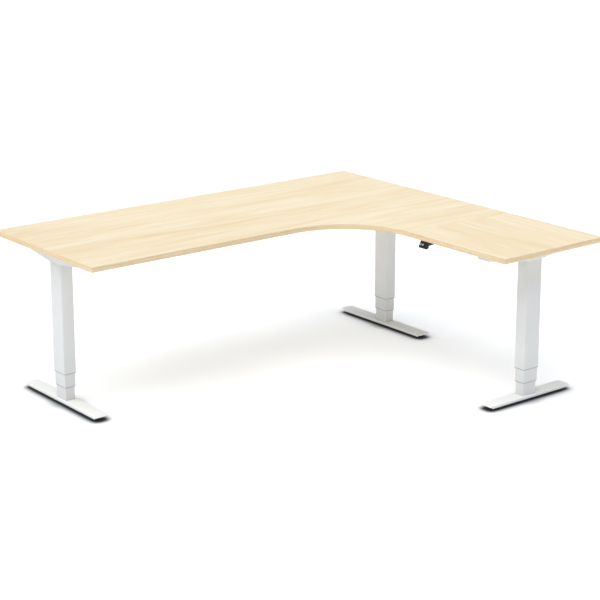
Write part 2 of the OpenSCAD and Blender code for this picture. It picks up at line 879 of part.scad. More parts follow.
foot_screws(RIGHT);  // right_foot_screws
glide(LEFT, -1);  // left_front_glide
glide(CORNER, -1);  // corner_front_glide
glide(RIGHT, -1);  // right_front_glide
glide(LEFT, 1);  // left_back_glide
glide(CORNER, 1);  // corner_back_glide
glide(RIGHT, 1);  // right_back_glide
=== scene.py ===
# Height adjustable corner standing desk: two birch boards on a white frame with three telescopic legs.
# The pieces follow one another in the order in which such a desk is put together, from the boards down.
import json
import math
import bmesh
import bpy
from mathutils import Matrix, Vector


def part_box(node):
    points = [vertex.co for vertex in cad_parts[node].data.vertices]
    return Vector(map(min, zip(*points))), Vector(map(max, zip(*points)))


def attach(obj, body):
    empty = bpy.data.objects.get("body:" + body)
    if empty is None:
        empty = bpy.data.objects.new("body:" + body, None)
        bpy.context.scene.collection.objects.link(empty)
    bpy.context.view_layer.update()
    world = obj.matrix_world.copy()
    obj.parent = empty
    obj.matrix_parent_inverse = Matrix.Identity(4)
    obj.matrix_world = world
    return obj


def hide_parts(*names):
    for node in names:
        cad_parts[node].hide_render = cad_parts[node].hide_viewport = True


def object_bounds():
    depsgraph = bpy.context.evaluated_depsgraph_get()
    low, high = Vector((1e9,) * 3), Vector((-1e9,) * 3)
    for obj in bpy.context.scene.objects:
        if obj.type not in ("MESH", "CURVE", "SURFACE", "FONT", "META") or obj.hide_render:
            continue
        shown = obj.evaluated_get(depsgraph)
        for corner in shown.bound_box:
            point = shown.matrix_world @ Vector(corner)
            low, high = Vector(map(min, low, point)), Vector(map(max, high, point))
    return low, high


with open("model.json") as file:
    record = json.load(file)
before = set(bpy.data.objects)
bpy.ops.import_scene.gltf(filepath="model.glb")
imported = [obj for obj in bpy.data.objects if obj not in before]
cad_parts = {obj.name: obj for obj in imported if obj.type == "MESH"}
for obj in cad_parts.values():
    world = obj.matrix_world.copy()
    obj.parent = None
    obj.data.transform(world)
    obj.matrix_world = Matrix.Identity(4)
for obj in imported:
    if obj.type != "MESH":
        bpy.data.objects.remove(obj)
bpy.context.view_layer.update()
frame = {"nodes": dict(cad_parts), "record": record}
nodes = frame["nodes"]
MM = 0.001


# ---------- The boards ----------
# Two melamine faced chipboard boards, 22 mm thick, with a pale birch decor pressed on both faces.
# The grain runs along each board's own length, and the two meet in a fine dark line at the seam.
def linear(hex_colour):
    """An sRGB hex colour as the linear RGBA that a shader takes."""
    def channel(text):
        c = int(text, 16) / 255
        return c / 12.92 if c <= 0.04045 else ((c + 0.055) / 1.055) ** 2.4
    return (channel(hex_colour[1:3]), channel(hex_colour[3:5]), channel(hex_colour[5:7]), 1.0)


def new_material(name):
    """An empty node material, and its shader."""
    material = bpy.data.materials.new(name)
    material.use_nodes = True
    shader = next(n for n in material.node_tree.nodes if n.type == "BSDF_PRINCIPLED")
    return material, shader


def add(tree, kind, links=None, stops=(), **settings):
    """Adds a node. A setting is a property of the node or else one of its inputs, by name or by number as in
    _0; links feeds inputs, by name or number, from other nodes' outputs; stops are a ramp's places and colours."""
    node = tree.nodes.new(kind)
    for key, value in settings.items():
        if key.startswith("_"):
            node.inputs[int(key[1:])].default_value = value
        elif hasattr(node, key):
            setattr(node, key, value)
        else:
            node.inputs[key.replace("_", " ")].default_value = value
    for key, source in (links or {}).items():
        tree.links.new(source, node.inputs[key])
    if stops:
        steps = node.color_ramp.elements
        while len(steps) < len(stops):
            steps.new(0.5)
        for step, (place, colour) in zip(steps, stops):
            step.position = place
            step.color = linear(colour)
    return node


def finish_surface(material, shader, colour=None, roughness=None, height=None, bump=0.1, distance=0.0002):
    """Joins a colour, a roughness and a height pattern to the shader."""
    tree = material.node_tree
    if colour:
        tree.links.new(colour, shader.inputs["Base Color"])
    if roughness:
        tree.links.new(roughness, shader.inputs["Roughness"])
    if height:
        relief = add(tree, "ShaderNodeBump", {"Height": height}, Strength=bump, Distance=distance)
        tree.links.new(relief.outputs["Normal"], shader.inputs["Normal"])


def birch_melamine(name, turn, tint):
    """Birch decor under a matt melamine film: satin, pale cream to straw, with long soft streaks 15 to 40 mm
    wide, fine fibre lines a few millimetres apart and short pores. Real pores are 0.1 mm wide; these are 0.8."""
    material, shader = new_material(name)
    tree = material.node_tree
    place = add(tree, "ShaderNodeTexCoord").outputs["Object"]
    along = add(tree, "ShaderNodeMapping", {"Vector": place}, Rotation=(0, 0, turn)).outputs["Vector"]

    def stretched(per_metre_along, per_metre_across, detail, rough=0.5, warp=0.0, shift=0.0):
        scaled = add(tree, "ShaderNodeMapping", {"Vector": along}, Location=(shift, shift * 0.7, 0.0),
                     Scale=(per_metre_along, per_metre_across, 8.0))
        return add(tree, "ShaderNodeTexNoise", {"Vector": scaled.outputs["Vector"]}, Scale=1.0, Detail=detail,
                   Roughness=rough, Distortion=warp).outputs["Fac"]

    streaks = stretched(2.6, 46.0, 3.0, 0.55, 0.35, 3.1)
    figure = stretched(1.1, 9.0, 2.0, 0.5, 1.1, 7.7)
    fibre = stretched(9.0, 240.0, 3.0, 0.6, 0.2, 1.3)
    pores = stretched(38.0, 1250.0, 1.0, 0.5, 0.0, 5.2)
    base = add(tree, "ShaderNodeValToRGB", {"Fac": streaks},
               ((0.30, tint[0]), (0.50, tint[1]), (0.70, tint[2]))).outputs["Color"]
    deeper = add(tree, "ShaderNodeValToRGB", {"Fac": figure},
                 ((0.34, "#FFFFFF"), (0.56, "#FBF8F1"), (0.70, "#F6EFE1"))).outputs["Color"]
    fine = add(tree, "ShaderNodeValToRGB", {"Fac": fibre},
               ((0.30, "#FFFFFF"), (0.62, "#FBF7EE"), (0.80, "#F4ECDB"))).outputs["Color"]
    pore = add(tree, "ShaderNodeValToRGB", {"Fac": pores}, ((0.66, "#FFFFFF"), (0.74, "#F1E6D0"))).outputs["Color"]
    for layer in (deeper, fine, pore):
        base = add(tree, "ShaderNodeMix", {6: base, 7: layer}, data_type="RGBA", blend_type="MULTIPLY",
                   _0=1.0).outputs[2]
    satin = add(tree, "ShaderNodeMapRange", {"Value": fibre}, _1=0.25, _2=0.75, _3=0.42, _4=0.52)
    finish_surface(material, shader, base, satin.outputs["Result"], pores, 0.12, 0.00008)
    shader.inputs["Specular IOR Level"].default_value = 0.42
    return material


def inset(outline, by):
    """A closed anticlockwise outline, drawn in by a distance along the mitre of each corner."""
    drawn = []
    for k, here in enumerate(outline):
        before, after = outline[k - 1], outline[(k + 1) % len(outline)]
        arriving = (here - before).normalized()
        leaving = (after - here).normalized()
        side_a, side_b = Vector((-arriving.y, arriving.x)), Vector((-leaving.y, leaving.x))
        drawn.append(here + (side_a + side_b) * (by / (1 + side_a.dot(side_b))))
    return drawn


def stack(mesh, outline, profile, hollow=False, holes=(), steps=24):
    """Adds a solid made of one outline at each (inset, height) of a profile, from the bottom up. A hollow one
    goes up its outside and down its inside. Holes are (x, y, radius), straight through. Returns its vertices."""
    rings = [[mesh.verts.new((p.x, p.y, z)) for p in inset(outline, by)] for by, z in profile]
    made = [v for ring in rings for v in ring]

    def skin(low, high):
        for k in range(len(low)):
            after = (k + 1) % len(low)
            mesh.faces.new((low[k], low[after], high[after], high[k]))

    for low, high in zip(rings, rings[1:] + (rings[:1] if hollow else [])):
        skin(low, high)
    if hollow:
        return made
    if not holes:
        mesh.faces.new(list(reversed(rings[0])))
        mesh.faces.new(rings[-1])
        return made
    levels = [[rings[0]], [rings[-1]]]
    for x, y, radius in holes:
        turns = [math.tau * k / steps for k in range(steps)]
        pair = [[mesh.verts.new((x + radius * math.cos(t), y + radius * math.sin(t), z)) for t in turns]
                for z in (profile[0][1], profile[-1][1])]
        skin(pair[1], pair[0])
        made += pair[0] + pair[1]
        levels[0].append(pair[0])
        levels[1].append(pair[1])
    for number, level in enumerate(levels):
        edges = [mesh.edges.get((ring[k], ring[(k + 1) % len(ring)])) for ring in level for k in range(len(ring))]
        filled = bmesh.ops.triangle_fill(mesh, use_beauty=True, edges=edges)["geom"]
        for face in (f for f in filled if isinstance(f, bmesh.types.BMFace)):
            face.normal_update()
            if (face.normal.z > 0) != (number == 1):
                face.normal_flip()
    return made


def moved(mesh, verts, matrix):
    """Puts some vertices in their place."""
    bmesh.ops.transform(mesh, matrix=matrix, verts=verts)
    return verts


def piece(name, mesh, materials, body, stands_for=(), sharp=32.0):
    """Finishes a mesh as a piece: smooth but for its real edges, with its materials and body."""
    data = bpy.data.meshes.new(name)
    if isinstance(mesh, bmesh.types.BMesh):
        mesh.to_mesh(data)
        mesh.free()
    else:
        data = mesh
        data.name = name
    for material in materials:
        if material.name not in data.materials:
            data.materials.append(material)
    data.polygons.foreach_set("use_smooth", [True] * len(data.polygons))
    data.set_sharp_from_angle(angle=math.radians(sharp))
    made = bpy.data.objects.new(name, data)
    bpy.context.scene.collection.objects.link(made)
    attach(made, body)
    if stands_for:
        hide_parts(*stands_for)
    return made


low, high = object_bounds()
board_low, board_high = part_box("main_board")
RIGHT_X, BACK_Y, TOP_Z, UNDER_Z = high.x, high.y, board_high.z, board_low.z
INNER_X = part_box("return_edge_band")[0].x
SEAM_Y = board_low.y
SEAM_GAP = SEAM_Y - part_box("return_board")[1].y
CURVE_R = 350 * MM
SEAM_RUN = 20 * MM
BAND_T = 2 * MM
EASED = 0.55 * MM
curve_centre = Vector((INNER_X - CURVE_R, SEAM_Y + SEAM_RUN))
main_path = [Vector((RIGHT_X, SEAM_Y)), Vector((RIGHT_X, BACK_Y)), Vector((-RIGHT_X, BACK_Y)),
             Vector((-RIGHT_X, curve_centre.y + CURVE_R))]
CURVE_STEPS = 72
for step in range(CURVE_STEPS + 1):
    turn = math.radians(90 - 90 * step / CURVE_STEPS)
    main_path.append(curve_centre + CURVE_R * Vector((math.cos(turn), math.sin(turn))))
main_path.append(Vector((INNER_X, SEAM_Y)))
return_top = SEAM_Y - SEAM_GAP
return_path = [Vector((INNER_X, return_top)), Vector((INNER_X, low.y)), Vector((RIGHT_X, low.y)),
               Vector((RIGHT_X, return_top))]


def board_outline(path, side):
    """The outline of a board inside its edge band: the band's thickness off every side but the seam."""
    drawn = inset(path, BAND_T)
    drawn[0] = Vector((path[0].x - side * BAND_T, path[0].y))
    drawn[-1] = Vector((path[-1].x + side * BAND_T, path[-1].y))
    return drawn


main_melamine = birch_melamine("birch_melamine_main", 0.0, ("#F6E6C8", "#F9EBD1", "#FBF0DB"))
return_melamine = birch_melamine("birch_melamine_return", math.pi / 2, ("#F5E4C5", "#F8E9CE", "#FAEED8"))
for name, path, side, material in (("main_birch_board", main_path, 1, main_melamine),
                                   ("return_birch_board", return_path, -1, return_melamine)):
    mesh = bmesh.new()
    stack(mesh, board_outline(path, side),
          [(EASED, UNDER_Z), (0, UNDER_Z + EASED), (0, TOP_Z - EASED), (EASED, TOP_Z)])
    piece(name, mesh, [material], "desk", [name.split("_")[0] + "_board"], 20.0)


# ---------- The edge bands ----------
# Strips of 2 mm ABS in the same birch decor, glued round each board's edges and trimmed with a small radius,
# which draws a fine bright line along the top. The two edges that meet at the seam are left bare.
def edge_band_abs(name):
    """Birch decor printed on ABS: glossier than the boards and deeper in tone, partly its own and partly painted
    shade of the boards' sides, its grain along the strip, with saw-fine lines 1.5 mm apart. It reads the strip's own
    map: metres along it and round its face."""
    material, shader = new_material(name)
    tree = material.node_tree
    strip = add(tree, "ShaderNodeUVMap", uv_map="strip").outputs["UV"]

    def lines(along, across, detail, shift):
        scaled = add(tree, "ShaderNodeMapping", {"Vector": strip}, Location=(shift, shift, 0),
                     Scale=(along, across, 1))
        return add(tree, "ShaderNodeTexNoise", {"Vector": scaled.outputs["Vector"]}, Scale=1.0, Detail=detail,
                   Roughness=0.55).outputs["Fac"]

    broad = lines(3.0, 160.0, 2.0, 2.4)
    fine = lines(22.0, 700.0, 2.0, 6.1)
    # The deeper tone is partly painted shade of the boards' sides.
    base = add(tree, "ShaderNodeValToRGB", {"Fac": broad},
               ((0.32, "#D9C096"), (0.52, "#E0CAA5"), (0.70, "#E6D3B3"))).outputs["Color"]
    grain = add(tree, "ShaderNodeValToRGB", {"Fac": fine},
                ((0.35, "#FFFFFF"), (0.68, "#F6EDDC"), (0.80, "#EEDFC4"))).outputs["Color"]
    blended = add(tree, "ShaderNodeMix", {6: base, 7: grain}, data_type="RGBA", blend_type="MULTIPLY", _0=1.0)
    satin = add(tree, "ShaderNodeMapRange", {"Value": fine}, _1=0.3, _2=0.7, _3=0.34, _4=0.46)
    finish_surface(material, shader, blended.outputs[2], satin.outputs["Result"], fine, 0.1, 0.00005)
    return material


band_abs = edge_band_abs("birch_printed_abs")
BAND_R = 1.2 * MM
arc = [math.radians(a) for a in (90, 67.5, 45, 22.5, 0)]
band_section = [(BAND_T, TOP_Z)]
band_section += [(BAND_R - BAND_R * math.cos(a), TOP_Z - BAND_R + BAND_R * math.sin(a)) for a in arc]
band_section += [(BAND_R - BAND_R * math.cos(a), UNDER_Z + BAND_R - BAND_R * math.sin(a)) for a in reversed(arc)]
band_section += [(BAND_T, UNDER_Z)]

for name, path in (("main_abs_band", main_path), ("return_abs_band", return_path)):
    mesh = bmesh.new()
    strip_map = mesh.loops.layers.uv.new("strip")
    rings, along = [], [0.0]
    for a, b in zip(path, path[1:]):
        along.append(along[-1] + (b - a).length)
    around = [0.0]
    for a, b in zip(band_section, band_section[1:]):
        around.append(around[-1] + math.hypot(b[0] - a[0], b[1] - a[1]))
    for k, here in enumerate(path):
        arriving = (here - path[k - 1]).normalized() if k else (path[1] - here).normalized()
        leaving = (path[k + 1] - here).normalized() if k + 1 < len(path) else arriving
        side_a, side_b = Vector((-arriving.y, arriving.x)), Vector((-leaving.y, leaving.x))
        inwards = (side_a + side_b) / (1 + side_a.dot(side_b))
        rings.append([mesh.verts.new((here.x + u * inwards.x, here.y + u * inwards.y, z)) for u, z in band_section])
    count = len(band_section)
    for k in range(len(path) - 1):
        for j in range(count):
            n = (j + 1) % count
            face = mesh.faces.new((rings[k][n], rings[k + 1][n], rings[k + 1][j], rings[k][j]))
            width = around[n] if n else around[-1] + UNDER_Z - TOP_Z
            for loop, place in zip(face.loops, ((along[k], width), (along[k + 1], width),
                                                (along[k + 1], around[j]), (along[k], around[j]))):
                loop[strip_map].uv = place
    mesh.faces.new(rings[0])
    mesh.faces.new(list(reversed(rings[-1])))
    bmesh.ops.recalc_face_normals(mesh, faces=mesh.faces)
    piece(name, mesh, [band_abs], "desk", [name.split("_")[0] + "_edge_band"], 40.0)


# ---------- Dowels, seam plates and screws ----------
# Six beech dowels line the boards up and four zinc plated plates tie them together from below. Pan head
# wood screws hold the plates, the arms, the control box and the panel; M6 screws join the frame.
def moulded(name, colour, deeper, rough=0.5, grain_mm=0.6, bump=0.12):
    """A moulded plastic with a fine eroded grain. The grain keeps it from shining like paint."""
    material, shader = new_material(name)
    tree = material.node_tree
    place = add(tree, "ShaderNodeTexCoord").outputs["Object"]
    cloud = add(tree, "ShaderNodeTexNoise", {"Vector": place}, Scale=28.0, Detail=3.0, Roughness=0.6).outputs["Fac"]
    grain = add(tree, "ShaderNodeTexNoise", {"Vector": place}, Scale=1 / (grain_mm * MM), Detail=2.0,
                Roughness=0.6).outputs["Fac"]
    colour = add(tree, "ShaderNodeValToRGB", {"Fac": cloud}, ((0.35, deeper), (0.65, colour))).outputs["Color"]
    dull = add(tree, "ShaderNodeMapRange", {"Value": cloud}, _1=0.3, _2=0.7, _3=rough - 0.04, _4=rough + 0.05)
    finish_surface(material, shader, colour, dull.outputs["Result"], grain, bump, 0.00005)
    return material


def metal(name, colour, deeper, rough=0.3, grain_mm=2.0, bump=0.06):
    """A bare or plated metal, with a soft mottle in its brightness and gloss."""
    material, shader = new_material(name)
    tree = material.node_tree
    shader.inputs["Metallic"].default_value = 1.0
    place = add(tree, "ShaderNodeTexCoord").outputs["Object"]
    mottle = add(tree, "ShaderNodeTexNoise", {"Vector": place}, Scale=1 / (grain_mm * MM), Detail=3.0,
                 Roughness=0.55).outputs["Fac"]
    colour = add(tree, "ShaderNodeValToRGB", {"Fac": mottle}, ((0.30, deeper), (0.68, colour))).outputs["Color"]
    dull = add(tree, "ShaderNodeMapRange", {"Value": mottle}, _1=0.3, _2=0.7, _3=rough - 0.06, _4=rough + 0.08)
    finish_surface(material, shader, colour, dull.outputs["Result"], mottle, bump, 0.00004)
    return material


def dress(material, *names):
    """Gives CAD nodes their material."""
    for name in names:
        if not nodes[name].material_slots:
            nodes[name].data.materials.append(material)
        for part in nodes[name].material_slots:
            part.material = material


def turned_beech(name):
    """Beech: warm pinkish tan, with short dark flecks 2 mm long along the grain."""
    material, shader = new_material(name)
    tree = material.node_tree
    place = add(tree, "ShaderNodeTexCoord").outputs["Object"]
    scaled = add(tree, "ShaderNodeMapping", {"Vector": place}, Scale=(900, 120, 900)).outputs["Vector"]
    fleck = add(tree, "ShaderNodeTexNoise", {"Vector": scaled}, Scale=1.0, Detail=2.0).outputs["Fac"]
    colour = add(tree, "ShaderNodeValToRGB", {"Fac": fleck},
                 ((0.35, "#D9B892"), (0.62, "#CFA981"), (0.72, "#A97F58"))).outputs["Color"]
    finish_surface(material, shader, colour, None, fleck, 0.2, 0.0001)
    shader.inputs["Roughness"].default_value = 0.62
    return material


zinc = metal("zinc_plated_steel", "#CDD0D2", "#B4B8BC", 0.30, 1.6)
dress(turned_beech("turned_beech"), "seam_dowels")


def islands(node):
    """The separate solids of a CAD node, each as a list of its points."""
    mesh = bmesh.new()
    mesh.from_mesh(nodes[node].data)
    bmesh.ops.remove_doubles(mesh, verts=mesh.verts, dist=0.002 * MM)
    found, left = [], set(mesh.verts)
    while left:
        start = left.pop()
        heap, group = [start], [start.co.copy()]
        while heap:
            for edge in heap.pop().link_edges:
                for vert in edge.verts:
                    if vert in left:
                        left.remove(vert)
                        heap.append(vert)
                        group.append(vert.co.copy())
        found.append(group)
    mesh.free()
    return sorted(found, key=lambda g: tuple(round(sum(p[i] for p in g) / len(g), 4) for i in range(3)))


def extent(points):
    """The lowest and highest corners of some points."""
    lowest = Vector([min(p[i] for p in points) for i in range(3)])
    return lowest, Vector([max(p[i] for p in points) for i in range(3)])


def rounded(width, length, radius, steps=6):
    """A rectangle with round corners round the origin, anticlockwise."""
    points = []
    for sx, sy, start in ((1, -1, -90), (1, 1, 0), (-1, 1, 90), (-1, -1, 180)):
        for k in range(steps + 1):
            turn = math.radians(start + 90 * k / steps)
            points.append(Vector((sx * (width / 2 - radius) + radius * math.cos(turn),
                                  sy * (length / 2 - radius) + radius * math.sin(turn))))
    return points


def slab(bottom, top, edge):
    """The profile of a plate whose edges are eased by a small amount."""
    near = edge * 0.3
    return [(edge, bottom), (near, bottom + near), (0, bottom + edge), (0, top - edge), (near, top - near),
            (edge, top)]


mesh = bmesh.new()
for solid in islands("seam_plates"):
    a, b = extent(solid)
    centre = (a + b) / 2
    plate = stack(mesh, rounded(b.x - a.x, b.y - a.y, 4 * MM), slab(a.z, b.z, 0.5 * MM))
    moved(mesh, plate, Matrix.Translation((centre.x, centre.y, 0)))
piece("zinc_seam_plates", mesh, [zinc], "desk", ["seam_plates"])


SCREW_SIDES = 24


def round_turns(count):
    """Even turns round a circle."""
    return [math.tau * k / count for k in range(count)]


def ring_of(radius, count):
    """A circle as an outline."""
    return [radius * Vector((math.cos(t), math.sin(t))) for t in round_turns(count)]


def steel_screw(name, head, head_h, shank, shank_l, reach, depth, dome):
    """A turned screw with its head's underside at the origin and its shank along +Z, and a driver recess whose
    outline is reach(angle). Returned as an object that stands in nothing: it is only copied from."""
    mesh = bmesh.new()
    turns = round_turns(SCREW_SIDES)
    sections = [[(reach(t) * 0.75, depth - head_h) for t in turns], [(reach(t), -head_h) for t in turns]]
    sections += [[(head / 2 * part, -head_h + drop * dome) for _ in turns]
                 for part, drop in ((0.72, 0.0), (0.9, 0.22), (0.98, 0.6), (1.0, 1.0))]
    sections += [[(radius, z) for _ in turns]
                 for radius, z in ((head / 2, 0.0), (shank / 2, 0.0), (shank / 2, shank_l * 0.85),
                                   (shank / 5, shank_l))]
    rings = [[mesh.verts.new((r * math.cos(t), r * math.sin(t), z)) for t, (r, z) in zip(turns, section)]
             for section in sections]
    for low, high in zip(rings, rings[1:]):
        for k in range(SCREW_SIDES):
            after = (k + 1) % SCREW_SIDES
            mesh.faces.new((low[k], low[after], high[after], high[k]))
    mesh.faces.new(rings[0])
    mesh.faces.new(rings[-1])
    bmesh.ops.recalc_face_normals(mesh, faces=mesh.faces)
    data = bpy.data.meshes.new(name)
    mesh.to_mesh(data)
    mesh.free()
    data.polygons.foreach_set("use_smooth", [True] * len(data.polygons))
    data.set_sharp_from_angle(angle=math.radians(35))
    return bpy.data.objects.new(name, data)


def cross_reach(t):
    """A cross recess, 4.4 mm across with bars 1.2 mm wide."""
    c, s = max(abs(math.cos(t)), 1e-6), max(abs(math.sin(t)), 1e-6)
    return max(min(2.2 * MM / c, 0.6 * MM / s), min(2.2 * MM / s, 0.6 * MM / c))


def hex_reach(across):
    """A hexagonal socket."""
    return lambda t: across / 2 / math.cos((t % (math.tau / 6)) - math.tau / 12)


def ports_of(tree, *ports):
    """Gives a tree a geometry in and out and some named inputs, and returns the node that hands them on."""
    for name, kind in (("Geometry", "Geometry"),) + ports:
        tree.interface.new_socket(name, in_out="INPUT", socket_type="NodeSocket" + kind)
    tree.interface.new_socket("Geometry", in_out="OUTPUT", socket_type="NodeSocketGeometry")
    return add(tree, "NodeGroupInput")


def close_tree(tree, given, geometry):
    """Ends a tree: makes its copies real, gives them their material and sends them out."""
    real = add(tree, "GeometryNodeRealizeInstances", {"Geometry": geometry})
    coated = add(tree, "GeometryNodeSetMaterial",
                 {"Geometry": real.outputs["Geometry"], "Material": given.outputs["Finish"]})
    out = add(tree, "NodeGroupOutput")
    tree.links.new(coated.outputs["Geometry"], out.inputs["Geometry"])
    return tree


def screws_tree():
    """Copies a screw to every point, its shank along the point's aim, each turned by its own amount."""
    tree = bpy.data.node_groups.new("screws_at_their_holes", "GeometryNodeTree")
    given = ports_of(tree, ("Screw", "Object"), ("Finish", "Material"), ("Seed", "Int"))
    screw = add(tree, "GeometryNodeObjectInfo", {"Object": given.outputs["Screw"]})
    aim = add(tree, "GeometryNodeInputNamedAttribute", data_type="FLOAT_VECTOR", Name="aim")
    upright = add(tree, "FunctionNodeAlignRotationToVector", {"Vector": aim.outputs["Attribute"]}, axis="Z")
    spin = add(tree, "FunctionNodeRandomValue", {"Seed": given.outputs["Seed"]}, data_type="FLOAT", _2=0.0,
               _3=math.tau)
    about = add(tree, "FunctionNodeAxisAngleToRotation", {"Angle": spin.outputs[1]}, Axis=(0, 0, 1))
    turned = add(tree, "FunctionNodeRotateRotation", {"Rotation": upright.outputs["Rotation"],
                                                      "Rotate By": about.outputs["Rotation"]}, rotation_space="LOCAL")
    copies = add(tree, "GeometryNodeInstanceOnPoints", {"Points": given.outputs["Geometry"],
                 "Instance": screw.outputs["Geometry"], "Rotation": turned.outputs["Rotation"]})
    return close_tree(tree, given, copies.outputs["Instances"])


def grown(name, start, tree, **inputs):
    """Runs a Geometry Nodes tree on a mesh, with named inputs, and returns the plain mesh that it makes."""
    carrier = bpy.data.objects.new(name + "_carrier", start)
    bpy.context.scene.collection.objects.link(carrier)
    modifier = carrier.modifiers.new("grow", "NODES")
    modifier.node_group = tree
    sockets = {s.name: s.identifier for s in tree.interface.items_tree if s.in_out == "INPUT"}
    for key, value in inputs.items():
        modifier[sockets[key.replace("_", " ")]] = value
    carrier.update_tag()
    ready = carrier.evaluated_get(bpy.context.evaluated_depsgraph_get())
    made = bpy.data.meshes.new_from_object(ready)
    carrier.modifiers.clear()
    bpy.data.objects.remove(carrier)
    return made


def screw_places(node):
    """Where each screw of a CAD node stands: its head's underside is found from its ends, its aim from its head."""
    places = []
    for solid in islands(node):
        a, b = extent(solid)
        size = b - a
        axis = max(range(3), key=lambda i: size[i])
        middle = (a + b) / 2
        across = [i for i in range(3) if i != axis]
        near_rim = min(size[i] for i in across) * 0.47
        far = [p for p in solid if math.hypot(*(p[i] - middle[i] for i in across)) > near_rim]
        head_low, head_high = min(p[axis] for p in far), max(p[axis] for p in far)
        forwards = (head_low + head_high) / 2 < middle[axis]
        point = middle.copy()
        point[axis] = head_high if forwards else head_low
        aim = Vector((0, 0, 0))
        aim[axis] = 1.0 if forwards else -1.0
        places.append((point, aim))
    return places


screws = screws_tree()
pan_head = steel_screw("pan_head_wood_screw", 10 * MM, 3 * MM, 5 * MM, 16 * MM, cross_reach, 1.5 * MM, 1.4 * MM)
button_head = steel_screw("m6_socket_screw", 11 * MM, 4 * MM, 6 * MM, 16 * MM, hex_reach(4.6 * MM), 2.4 * MM,
                          2.2 * MM)
foot_head = steel_screw("m8_socket_screw", 13 * MM, 5 * MM, 8 * MM, 12 * MM, hex_reach(6 * MM), 3 * MM, 0.8 * MM)


def put_screws(name, node, screw, body, seed):
    """All the screws of one node, as one piece."""
    start = bpy.data.meshes.new(name + "_points")
    places = screw_places(node)
    start.from_pydata([p for p, _ in places], [], [])
    aims = start.attributes.new("aim", "FLOAT_VECTOR", "POINT")
    for item, (_, aim) in zip(aims.data, places):
        item.vector = aim
    made = grown(name, start, screws, Screw=screw, Finish=zinc, Seed=seed)
    piece(name, made, [zinc], body, [node], 35)


put_screws("zinc_wood_screws", "board_screws", pan_head, "desk", 3)
put_screws("zinc_frame_screws", "frame_screws", button_head, "desk", 5)
LEGS = ("left", "corner", "right")


def body_of(node):
    """The body that a node rides on."""
    return next(body for body, names in frame["record"]["behaviour"]["bodies"].items() if node in names)


BASE = {leg: body_of(leg + "_foot") for leg in LEGS}
STAGE = {leg: body_of(leg + "_middle_tube") for leg in LEGS}
for number, leg in enumerate(LEGS):
    put_screws(leg + "_zinc_foot_screws", leg + "_foot_screws", foot_head, BASE[leg], 11 + number)


# ---------- The arms under the boards ----------
# One arm to a leg: a trough of 3 mm steel, folded and welded, deepest at the column and tapered to its ends,
# powder coated white and screwed up into the board. The column's head stands inside it.
def powder_coat(name, colour, deeper):
    """Polyester powder on steel: clean satin white, with the orange peel of melted powder, 1.5 mm across and
    a few microns deep, that breaks up its reflections, and a barely warmer cast where the coat lies thin."""
    material, shader = new_material(name)
    tree = material.node_tree
    place = add(tree, "ShaderNodeTexCoord").outputs["Object"]
    peel = add(tree, "ShaderNodeTexNoise", {"Vector": place}, Scale=680.0, Detail=1.5, Roughness=0.4).outputs["Fac"]
    cloud = add(tree, "ShaderNodeTexNoise", {"Vector": place}, Scale=5.0, Detail=3.0, Roughness=0.55).outputs["Fac"]
    colour = add(tree, "ShaderNodeValToRGB", {"Fac": cloud}, ((0.32, deeper), (0.62, colour))).outputs["Color"]
    satin = add(tree, "ShaderNodeMapRange", {"Value": peel}, _1=0.3, _2=0.7, _3=0.36, _4=0.44)
    finish_surface(material, shader, colour, satin.outputs["Result"], peel, 0.10, 0.00003)
    shader.inputs["Specular IOR Level"].default_value = 0.5
    return material


# The columns, arms, beams and welds share this copy of the white coat, greyer than the real white: painted shade.
shade_greyed_white_coat = powder_coat("white_powder_coat_greyed_as_shade", "#D8D8D7", "#D4D4D3")


def is_turned(leg):
    """Whether a leg stands along X, as the return's does."""
    a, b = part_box(leg + "_outer_tube")
    return (b.x - a.x) > (b.y - a.y)


def leg_frame(leg):
    """The matrix that puts a piece drawn at the origin in its place on a leg."""
    a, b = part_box(leg + "_outer_tube")
    turn = Matrix.Rotation(math.pi / 2 * is_turned(leg), 4, "Z")
    return Matrix.Translation(((a.x + b.x) / 2, (a.y + b.y) / 2, 0)) @ turn


def across_and_along(leg, node):
    """A node's size across and along its leg."""
    a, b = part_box(f"{leg}_{node}")
    size = b - a
    return (size.y, size.x) if is_turned(leg) else (size.x, size.y)


ARM_T = 3 * MM
ARM_END_H = 16 * MM
ARM_FOLD_R = 3 * MM
ARM_CHEEK = 5 * MM
REAL_CORNER = 0.6
TUBE_W, TUBE_L = across_and_along("left", "outer_tube")


def trough(width, drop, grow, radius, steps=5):
    """Half of a trough's section, mirrored: from one lower edge over its folded top to the other, in (x, z)."""
    half = width / 2 - grow
    top = UNDER_Z - grow
    r = max(radius - grow, 0.6 * MM)
    bend = [math.radians(90 * k / steps) for k in range(steps + 1)]
    right = [(half, UNDER_Z - drop)] + [(half - r + r * math.cos(t), top - r + r * math.sin(t)) for t in bend]
    return right + [(-x, z) for x, z in reversed(right)]


